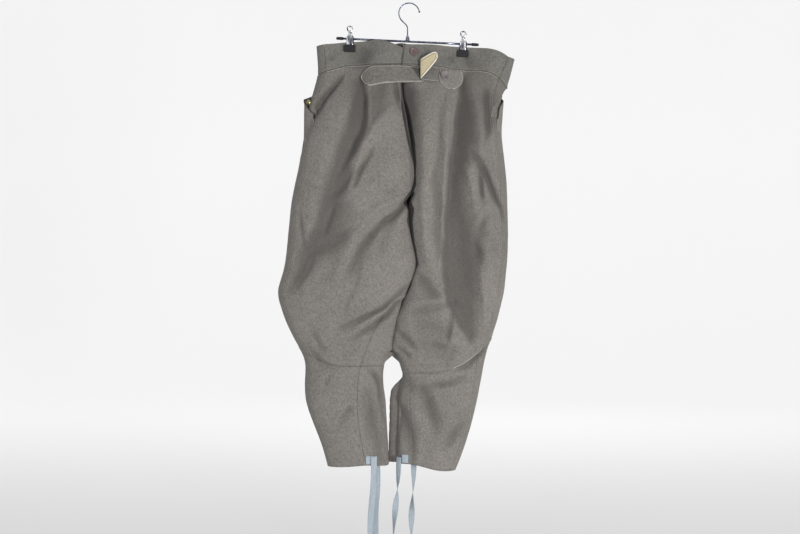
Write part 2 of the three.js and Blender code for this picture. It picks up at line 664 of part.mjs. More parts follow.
// The tongue from the right patch: flat to the left, then folded back towards +X and out from the cloth.
const TONGUE = { root: 70, fold: 30, top: -150, bottom: -178, wall: 1.8, lining: 0.8 };
const TONGUE_TIP = [
  { x: 31, top: -130, bottom: -176, y: 46, yLow: 44 },
  { x: 40, top: -124, bottom: -172, y: 50, yLow: 47 },
  { x: 50, top: -117.5, bottom: -156.5, y: 53, yLow: 51 },
  { x: 60, top: -111.5, bottom: -140.5, y: 55, yLow: 54 },
  { x: 67, top: -111.5, bottom: -130, y: 56, yLow: 55 },
  { x: 71, top: -117, bottom: -124, y: 56, yLow: 56 },
];

/** The folded-back end as a grid; its lining starts past the fold and is drawn in from the edges. */
function tonguePoints(lift, margin) {
  const [root, next] = TONGUE_TIP;
  const past = Object.fromEntries(Object.keys(root).map((key) => [key, mix(root[key], next[key], 0.4)]));
  const rows = margin > 0 ? [past, ...TONGUE_TIP.slice(1)] : TONGUE_TIP;
  return rows.map((row, i) => {
    const last = i === rows.length - 1;
    const fit = last ? margin * 0.4 : margin;
    const x = row.x - (last ? margin : 0);
    return steps(4).map(
      (down) =>
        new THREE.Vector3(x, -mix(row.y, row.yLow, down) - lift, mix(row.top - fit, row.bottom + fit, down)),
    );
  });
}

function strapTongue() {
  const { root, fold, top, bottom, wall } = TONGUE;
  const flat = steps(4).map((t) =>
    steps(4).map((down) => {
      const x = mix(root, fold, t);
      const place = landOn("near", nearFace("near", x, mix(top, bottom, down)), 5);
      place.y = mix(place.y, -41, smooth(t));
      return place;
    }),
  );
  const grid = [...flat, ...tonguePoints(0, 0)];
  return mesh("strap_tongue", wallGeometry(grid, wall), MATERIALS.wool);
}

function tongueLining() {
  const lift = TONGUE.wall / 2 + TONGUE.lining / 2 + CLOTH.gap + 0.2;
  return mesh("tongue_lining", wallGeometry(tonguePoints(lift, 2.2), TONGUE.lining), MATERIALS.lining);
}

// ---------------------------------------------------------------- buttons

/** A dished round button facing a direction, its back on the given place. */
function button(name, diameter, { place, out: direction }, material) {
  const r = diameter / 2;
  const profile = [
    [0, 0],
    [r * 0.7, 0],
    [r, BUTTON.rise * 0.45],
    [r * 0.96, BUTTON.rise * 0.85],
    [r * 0.84, BUTTON.rise],
    [r * 0.66, BUTTON.rise * 0.72],
    [0, BUTTON.rise * 0.62],
  ].map(([x, y]) => new THREE.Vector2(x, y));
  const made = mesh(name, new THREE.LatheGeometry(profile, 20), material);
  made.quaternion.setFromUnitVectors(new THREE.Vector3(0, 1, 0), direction.clone().normalize());
  made.position.copy(place);
  return made;
}

/** A large button lying on a face, lifted out of it. */
function buttonOn(name, face, { x, z }, lift) {
  const at = (dx, dz) => landOn(face, nearFace(face, x + dx, z + dz), 0);
  const out = at(5, 0).sub(at(-5, 0)).cross(at(0, 5).sub(at(0, -5))).normalize();
  if (face === "far") out.negate();
  return button(name, BUTTON.large, { place: at(0, 0).addScaledVector(out, lift), out }, MATERIALS.horn);
}

// ---------------------------------------------------------------- pocket edges and fly

// The slanted pocket mouth by height: how far round the side it lies (near side positive) and how far its
// edge gapes out from the cloth behind it.
const POCKET = [
  { z: -156, round: -76, gape: 0.5 },
  { z: -184, round: -40, gape: 3 },
  { z: -212, round: -6, gape: 7.5 },
  { z: -228, round: 6, gape: 7 },
  { z: -252, round: 13, gape: 4.5 },
  { z: -292, round: 20, gape: 0.5 },
];
const POCKET_EDGE = { width: 20, wall: 1.6, rows: 10 };
const FACING = { width: 15, wall: 1.2, top: -204, bottom: -258 };
const pocket = columnsOf(POCKET);

/** A place by its distance round the outer edge, near side positive, lifted straight out of the cloth. */
function roundTheSide(leg, distance, z, lift) {
  const ring = ringOf(leg, z, false);
  const [before, here, after] = [-3, 0, 3].map((step) =>
    along(ring.line, ring.lengths, ring.nearLength - distance + step),
  );
  const run = after.clone().sub(before);
  const out = new THREE.Vector3(run.y, -run.x, 0).multiplyScalar(leg.side).normalize();
  return { place: castOn(here, out).addScaledVector(out, lift), out };
}

/** The front panel's edge along its slanted pocket mouth, gaping round the side of the hip. */
function pocketEdge(name, leg) {
  const { width, wall, rows } = POCKET_EDGE;
  const clear = wall / 2 + CLOTH.gap + 0.9;
  const grid = steps(rows).map((t) => {
    const z = mix(POCKET[0].z, POCKET[POCKET.length - 1].z, t);
    return steps(3).map((w) => {
      const round = pocket.round(z) - width * (1 - w);
      return roundTheSide(leg, round, z, clear + pocket.gape(z) * smooth(w * 1.1)).place;
    });
  });
  return mesh(name, wallGeometry(grid, wall), MATERIALS.wool);
}

/** The patch of cloth behind the mouth, which carries the pocket's button. */
function pocketFacing(name, leg) {
  const clear = FACING.wall / 2 + CLOTH.gap + 2.6;
  const grid = steps(5).map((t) => {
    const z = mix(FACING.top, FACING.bottom, t);
    const start = pocket.round(z) + 1.5;
    const width = FACING.width * Math.sqrt(1 - (t * 0.9) ** 3);
    return steps(3).map((w) => roundTheSide(leg, start + width * w, z, clear).place);
  });
  return mesh(name, wallGeometry(grid, FACING.wall), MATERIALS.wool);
}

/** The small button on the facing. */
function pocketButton(name, leg) {
  return button(name, BUTTON.small, roundTheSide(leg, 15, -226, FACING.wall + 4.1), MATERIALS.brass);
}

/** The fly's overlapping edge on the far face, ending in a curve. */
function flyFlap() {
  const rows = steps(9).map((t) => {
    const z = mix(-150, -345, t);
    const x = middle.x(z);
    const width = 42 * Math.sqrt(1 - (clamp01((t - 0.6) / 0.4) * 0.96) ** 2);
    return { z, from: x + 5, to: x + 5 - width };
  });
  return laidOn("fly_flap", rows, 1.6, MATERIALS.wool, 4, "far", 1.5);
}

// ---------------------------------------------------------------- tie tapes

// How each tape hangs: its drift sideways, its sway, how far it twists from its first angle, its end.
const TAPE_HANGS = {
  leftBack: { drift: -8, sway: 2, twist: 0.35, phase: 0.1, end: TAPE.end },
  leftFront: { drift: -3, sway: 1.5, twist: -0.9, phase: 0.3, end: TAPE.end + 12 },
  rightBack: { drift: -14, sway: 1.5, twist: -4.4, phase: -0.6, end: TAPE.end - 6 },
  rightFront: { drift: -5, sway: 1.5, twist: 4.4, phase: 0.05, end: TAPE.end + 4 },
};

/** A tape that hangs from a place, drifting sideways and twisting about its own line on the way down. */
function hangingTape(name, top, { drift, sway, twist, phase, end }) {
  const grid = steps(TAPE.rows).map((t) => {
    const z = mix(top.z, end, t);
    const x = top.x + drift * t + sway * Math.sin(t * Math.PI * 2.2);
    const angle = phase + twist * smooth(t * 1.05) + 0.25 * Math.sin(t * 9 + phase);
    const half = TAPE.width / 2;
    const y = top.y + 2 * Math.sin(t * 5);
    return [-1, 0, 1].map(
      (side) =>
        new THREE.Vector3(
          x + side * half * Math.cos(angle),
          y + side * half * Math.sin(angle) - 1.2 * (1 - side * side) * Math.cos(angle),
          z,
        ),
    );
  });
  return mesh(name, wallGeometry(grid, TAPE.wall), MATERIALS.tape);
}

/** The square of tape that is stitched to the hem. */
function tapeEnd(name, x, face) {
  const rows = [-1040, -1050, -1059].map((z) => ({ z, from: x - 7, to: x + 7 }));
  return laidOn(name, rows, TAPE.wall, MATERIALS.tape, 2, face);
}

// ---------------------------------------------------------------- hanger

/** The hook's wire: round the peg, back under it and straight down to the bar. */
function hookLine() {
  const radius = HOOK.inner + HOOK.wire;
  const centre = new THREE.Vector2(HOOK.lean, -HOOK.inner);
  const [start, stop] = [HOOK.tail, Math.PI * HOOK.turn];
  const round = steps(26).map((t) => {
    const angle = mix(start, stop, t);
    return new THREE.Vector3(centre.x + radius * Math.cos(angle), 0, centre.y + radius * Math.sin(angle));
  });
  const last = round[round.length - 1];
  const heading = new THREE.Vector2(-Math.sin(stop), Math.cos(stop));
  const sideways = HOOK.bend * (1 - Math.cos(Math.atan2(heading.x, -heading.y)));
  const straight = (-last.x - sideways) / heading.x;
  const turned = Math.atan2(heading.x, -heading.y);
  const from = new THREE.Vector2(last.x + heading.x * straight, last.z + heading.y * straight);
  const pivot = new THREE.Vector2(from.x - HOOK.bend * Math.cos(turned), from.y - HOOK.bend * Math.sin(turned));
  const bend = steps(6).map((t) => {
    const angle = turned * (1 - t);
    return new THREE.Vector3(pivot.x + HOOK.bend * Math.cos(angle), 0, pivot.y + HOOK.bend * Math.sin(angle));
  });
  return [...round, ...bend, new THREE.Vector3(0, 0, HOOK.stem)];
}

/** A round bar or wire along a line of points. */
function wireGeometry(points, radius, sides, count) {
  const path = new THREE.CatmullRomCurve3(points, false, "centripetal");
  const circle = new THREE.Shape(
    steps(sides)
      .slice(1)
      .map((t) => new THREE.Vector2(radius * Math.cos(t * 2 * Math.PI), radius * Math.sin(t * 2 * Math.PI))),
  );
  return new THREE.ExtrudeGeometry(circle, { steps: count, extrudePath: path, bevelEnabled: false });
}

/** A solid or hollow turned piece lying along X, from its profile of [distance along, radius]. */
function turnedAlongX(name, profile, material, sides = 16) {
  const geometry = new THREE.LatheGeometry(
    profile.map(([along, radius]) => new THREE.Vector2(radius, along)),
    sides,
  ).rotateZ(-Math.PI / 2);
  return mesh(name, geometry, material);
}

// A clip's plate by height from the bar: its half width, and how far it stands from the hanging plane.
const CLIP_PLATE = [
  { z: 29, half: 2.4, out: 13.6 },
  { z: 27.6, half: 5.4, out: 13.6 },
  { z: 24, half: 7.7, out: 13.2 },
  { z: 20, half: 8.3, out: 12.4 },
  { z: 15.5, half: 7.4, out: 11.2 },
  { z: 12.5, half: 6.2, out: 10.4 },
  { z: 9, half: 8.2, out: 9.6 },
  { z: 3, half: 9, out: 8.6 },
  { z: -4, half: 9, out: 8 },
  { z: -10, half: 9, out: 7.8 },
  { z: -14.6, half: 8.8, out: 7.6 },
];
const CLIP_PAD = { width: 26.4, height: 16, wall: 4.6, inner: 5.3, top: -15, round: 2.4 };

/** One clip: two bent plates with rubber pads that press the waistband, and the spring round the bar. */
function clip(name) {
  const group = new THREE.Group();
  for (const [side, sign] of [["near", -1], ["far", 1]]) {
    const grid = CLIP_PLATE.map(({ z, half, out }) =>
      [-1, -0.72, -0.3, 0.3, 0.72, 1].map((x) => {
        const flange = Math.abs(x) === 1 ? 2.2 : 0;
        return new THREE.Vector3(x * half, sign * (out - flange), z);
      }),
    );
    group.add(mesh(`clip_plate_${side}_${name}`, wallGeometry(grid, 1.1), MATERIALS.steel));

    const { width, height, wall, inner, top, round } = CLIP_PAD;
    const outline = new THREE.Shape();
    const [w, h] = [width / 2 - round, height / 2 - round];
    outline.absarc(w, h, round, 0, Math.PI / 2);
    outline.absarc(-w, h, round, Math.PI / 2, Math.PI);
    outline.absarc(-w, -h, round, Math.PI, Math.PI * 1.5);
    outline.absarc(w, -h, round, Math.PI * 1.5, Math.PI * 2);
    const bevel = 0.8;
    const pad = new THREE.ExtrudeGeometry(outline, {
      depth: wall - 2 * bevel,
      bevelThickness: bevel,
      bevelSize: bevel,
      bevelOffset: -bevel,
      bevelSegments: 1,
      curveSegments: 3,
    }).rotateX(Math.PI / 2);
    const middleOut = inner + wall / 2;
    pad.translate(0, sign * middleOut + wall / 2 - bevel, top - CLOTH.gap - height / 2);
    group.add(mesh(`clip_pad_${side}_${name}`, pad, MATERIALS.rubber));
  }
  const [tube, wire] = [BAR.radius + 0.4, BAR.radius + 2];
  const coil = [[-5.5, tube], [5.5, tube], [5.5, wire], [-5.5, wire], [-5.5, tube]].reverse();
  group.add(turnedAlongX(`clip_spring_${name}`, coil, MATERIALS.steel));
  return group;
}

function hanger() {
  const group = new THREE.Group();
  const tilted = new THREE.Group();
  tilted.position.set(0, 0, BAR.height);
  tilted.rotation.y = Math.atan(-WAIST.slope);

  const half = BAR.length / 2;
  tilted.add(turnedAlongX("hanger_bar", [[-half, 0], [-half, BAR.radius], [half, BAR.radius], [half, 0]], MATERIALS.steel, 14));
  for (const [name, sign] of [["left", -1], ["right", 1]]) {
    const [near, far] = [half - BAR.cap * 0.55, half + BAR.cap * 0.45];
    const [bore, skin] = [BAR.radius + 0.3, BAR.capRadius];
    const profile = [[near, bore], [near, skin], [far - 1.6, skin], [far, skin - 1.4], [far, 0], [half + 0.4, 0], [half + 0.4, bore], [near, bore]];
    const placed = profile.map(([along, radius]) => [along * sign, radius]);
    tilted.add(turnedAlongX(`bar_cap_${name}`, sign > 0 ? placed : placed.reverse(), MATERIALS.rubber));
    const one = clip(name);
    one.position.x = CLIPS[name];
    tilted.add(one);
  }
  group.add(tilted);

  const line = hookLine();
  group.add(mesh("hook", wireGeometry(line, HOOK.wire, 8, 48), MATERIALS.steel));
  const tip = mesh("hook_tip", new THREE.SphereGeometry(HOOK.wire * 1.45, 12, 8), MATERIALS.rubber);
  const outwards = line[0].clone().sub(line[1]).normalize();
  tip.position.copy(line[0]).addScaledVector(outwards, HOOK.wire * 1.45 + CLOTH.gap);
  group.add(tip);

  const collarFoot = BAR.height + BAR.radius + CLOTH.gap;
  const collar = [[HOOK.wire + 0.3, HOOK.stem - 1], [4.4, HOOK.stem - 1], [4.4, HOOK.stem + 2.4], [3.2, HOOK.stem + 4.4], [HOOK.wire + 0.3, HOOK.stem + 4.4], [HOOK.wire + 0.3, HOOK.stem - 1]];
  group.add(mesh("hook_collar", new THREE.LatheGeometry(collar.map(([x, y]) => new THREE.Vector2(x, y)), 14).rotateX(Math.PI / 2), MATERIALS.steel));
  const ferrule = [[0, collarFoot], [5.2, collarFoot], [5.2, HOOK.stem - 1.3], [0, HOOK.stem - 1.3]];
  group.add(mesh("hook_ferrule", new THREE.LatheGeometry(ferrule.map(([x, y]) => new THREE.Vector2(x, y)), 14).rotateX(Math.PI / 2), MATERIALS.steel));
  return group;
}

// ---------------------------------------------------------------- the whole

function breeches() {
  const group = new THREE.Group();
  group.add(...panels);
  for (const [name, leg] of Object.entries(legs)) {
    group.add(pocketEdge(`pocket_edge_${name}`, leg));
    group.add(pocketFacing(`pocket_facing_${name}`, leg));
    group.add(pocketButton(`button_pocket_${name}`, leg));
  }
  group.add(strapBaseLeft(), strapBaseRight(), strap(), strapTongue(), tongueLining(), flyFlap());

  group.add(buttonOn("button_waist_back", "near", { x: 13, z: -108 }, 0.6));
  group.add(buttonOn("button_strap", "near", { x: 86, z: -160 }, 3.6));
  group.add(buttonOn("button_waist_front", "far", { x: -26, z: -122 }, 0.6));

  group.add(tapeEnd("tape_end_left", -88, "near"), tapeEnd("tape_end_right", -6, "near"));
  const from = (face, x, z, lift) => landOn(face, nearFace(face, x, z), lift);
  group.add(
    hangingTape("tape_left_back", from("near", -77, -1040, 3), TAPE_HANGS.leftBack),
    hangingTape("tape_left_front", from("far", -70, -1052, -14), TAPE_HANGS.leftFront),
    hangingTape("tape_right_back", from("near", -20, -1046, 8), TAPE_HANGS.rightBack),
    hangingTape("tape_right_front", from("far", 14, -1050, -14), TAPE_HANGS.rightFront),
  );
  return group;
}

const hung = new THREE.Group();
hung.add(breeches(), hanger());
hung.position.x = -HOOK.lean;

export default hung;
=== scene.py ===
"""Wool uniform breeches with a back strap and tie tapes, hung by the waist from a clip hanger."""
import functools
import json
import math

import bmesh
import bpy
import numpy as np
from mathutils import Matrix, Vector
from mathutils.bvhtree import BVHTree
from mathutils.kdtree import KDTree

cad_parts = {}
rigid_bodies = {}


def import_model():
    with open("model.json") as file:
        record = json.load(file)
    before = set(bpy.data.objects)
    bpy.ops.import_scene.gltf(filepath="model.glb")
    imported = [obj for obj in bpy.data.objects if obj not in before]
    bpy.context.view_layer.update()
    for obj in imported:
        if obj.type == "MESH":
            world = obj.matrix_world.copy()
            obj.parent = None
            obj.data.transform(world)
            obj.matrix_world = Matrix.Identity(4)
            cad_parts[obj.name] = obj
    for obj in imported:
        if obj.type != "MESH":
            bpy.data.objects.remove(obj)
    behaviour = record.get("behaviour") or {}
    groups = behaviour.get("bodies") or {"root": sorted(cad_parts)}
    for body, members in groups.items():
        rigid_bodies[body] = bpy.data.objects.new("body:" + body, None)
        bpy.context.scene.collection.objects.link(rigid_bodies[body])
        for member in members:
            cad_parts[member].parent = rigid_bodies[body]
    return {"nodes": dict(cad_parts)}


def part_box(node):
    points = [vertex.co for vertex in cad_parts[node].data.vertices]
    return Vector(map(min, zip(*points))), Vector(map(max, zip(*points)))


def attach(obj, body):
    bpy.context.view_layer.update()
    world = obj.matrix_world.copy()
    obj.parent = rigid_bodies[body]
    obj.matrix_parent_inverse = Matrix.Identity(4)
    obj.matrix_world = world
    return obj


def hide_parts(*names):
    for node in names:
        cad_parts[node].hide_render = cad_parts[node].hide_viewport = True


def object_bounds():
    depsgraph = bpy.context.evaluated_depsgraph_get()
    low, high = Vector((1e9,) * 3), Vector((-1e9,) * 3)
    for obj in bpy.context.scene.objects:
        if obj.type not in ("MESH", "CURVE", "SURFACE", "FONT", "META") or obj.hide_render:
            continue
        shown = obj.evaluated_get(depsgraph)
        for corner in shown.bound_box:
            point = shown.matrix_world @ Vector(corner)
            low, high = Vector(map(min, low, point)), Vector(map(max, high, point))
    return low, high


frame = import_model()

bl_info = {
    "name": "Uniform Breeches",
    "version": (1, 0, 0),
    "blender": (4, 5, 0),
    "location": "3D View > Sidebar > Breeches",
    "description": "Dresses the breeches' frame in cloth, stitching, buttons, tapes and a clip hanger",
    "category": "Object",
}

CAD_BOX = [list(corner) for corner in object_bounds()]
MM = 0.001  # tables and relief are in millimetres, everything else in metres
LEGS = ("left", "right")
LEG_PARTS = ("back", "front", "lower_back", "lower_front")
PANEL_PARTS = (*LEG_PARTS, "waistband_back", "waistband_front")
PANELS = [(f"{part}_{leg}", leg) for leg in LEGS for part in PANEL_PARTS]
WAIST_SEAM, CROTCH, KNEE_SEAM, SHIN = -170, -395, -806, -849  # heights, in millimetres

# ---------------------------------------------------------------- tables

# The cut of each cloth piece before it was sewn: width, length, area, and what holds it.
CUTS = {
    "back_left": (0.300, 0.730, 0.168, ["waistband_back_left"]),
    "back_right": (0.290, 0.735, 0.152, ["waistband_back_right"]),
    "front_left": (0.400, 0.740, 0.218, ["waistband_front_left"]),
    "front_right": (0.350, 0.735, 0.181, ["waistband_front_right"]),
    "lower_back_left": (0.125, 0.240, 0.0217, ["back_left"]),
    "lower_back_right": (0.155, 0.255, 0.0284, ["back_right"]),
    "lower_front_left": (0.310, 0.275, 0.0700, ["front_left"]),
    "lower_front_right": (0.290, 0.285, 0.0625, ["front_right"]),
    "waistband_back_left": (0.187, 0.056, 0.0099, ["clip_pad_near_left"]),
    "waistband_back_right": (0.228, 0.058, 0.0122, ["clip_pad_near_right"]),
    "waistband_front_left": (0.228, 0.060, 0.0128, ["clip_pad_far_left"]),
    "waistband_front_right": (0.280, 0.064, 0.0154, ["clip_pad_far_right"]),
    "strap": (0.146, 0.045, 0.0056, ["back_left"]),
    "strap_base_right": (0.058, 0.044, 0.00217, ["back_right"]),
    "strap_tongue": (0.090, 0.046, 0.0026, ["strap_base_right"]),
    "tongue_lining": (0.037, 0.046, 0.00108, ["strap_tongue"]),
    "fly_flap": (0.044, 0.200, 0.0076, ["front_left"]),
    "pocket_edge_left": (0.085, 0.150, 0.0098, ["front_left"]),
    "pocket_edge_right": (0.085, 0.150, 0.0098, ["front_right"]),
    "pocket_facing_left": (0.030, 0.066, 0.00135, ["front_left"]),
    "pocket_facing_right": (0.030, 0.066, 0.00135, ["front_right"]),
    "tape_end_left": (0.014, 0.019, 0.00026, ["lower_back_left"]),
    "tape_end_right": (0.015, 0.019, 0.00027, ["lower_back_right"]),
    "tape_left_back": (0.014, 0.228, 0.00315, ["tape_end_left"]),
    "tape_left_front": (0.014, 0.205, 0.00285, ["lower_front_left"]),
    "tape_right_back": (0.014, 0.230, 0.00318, ["tape_end_right"]),
    "tape_right_front": (0.014, 0.215, 0.00295, ["lower_front_right"]),
}

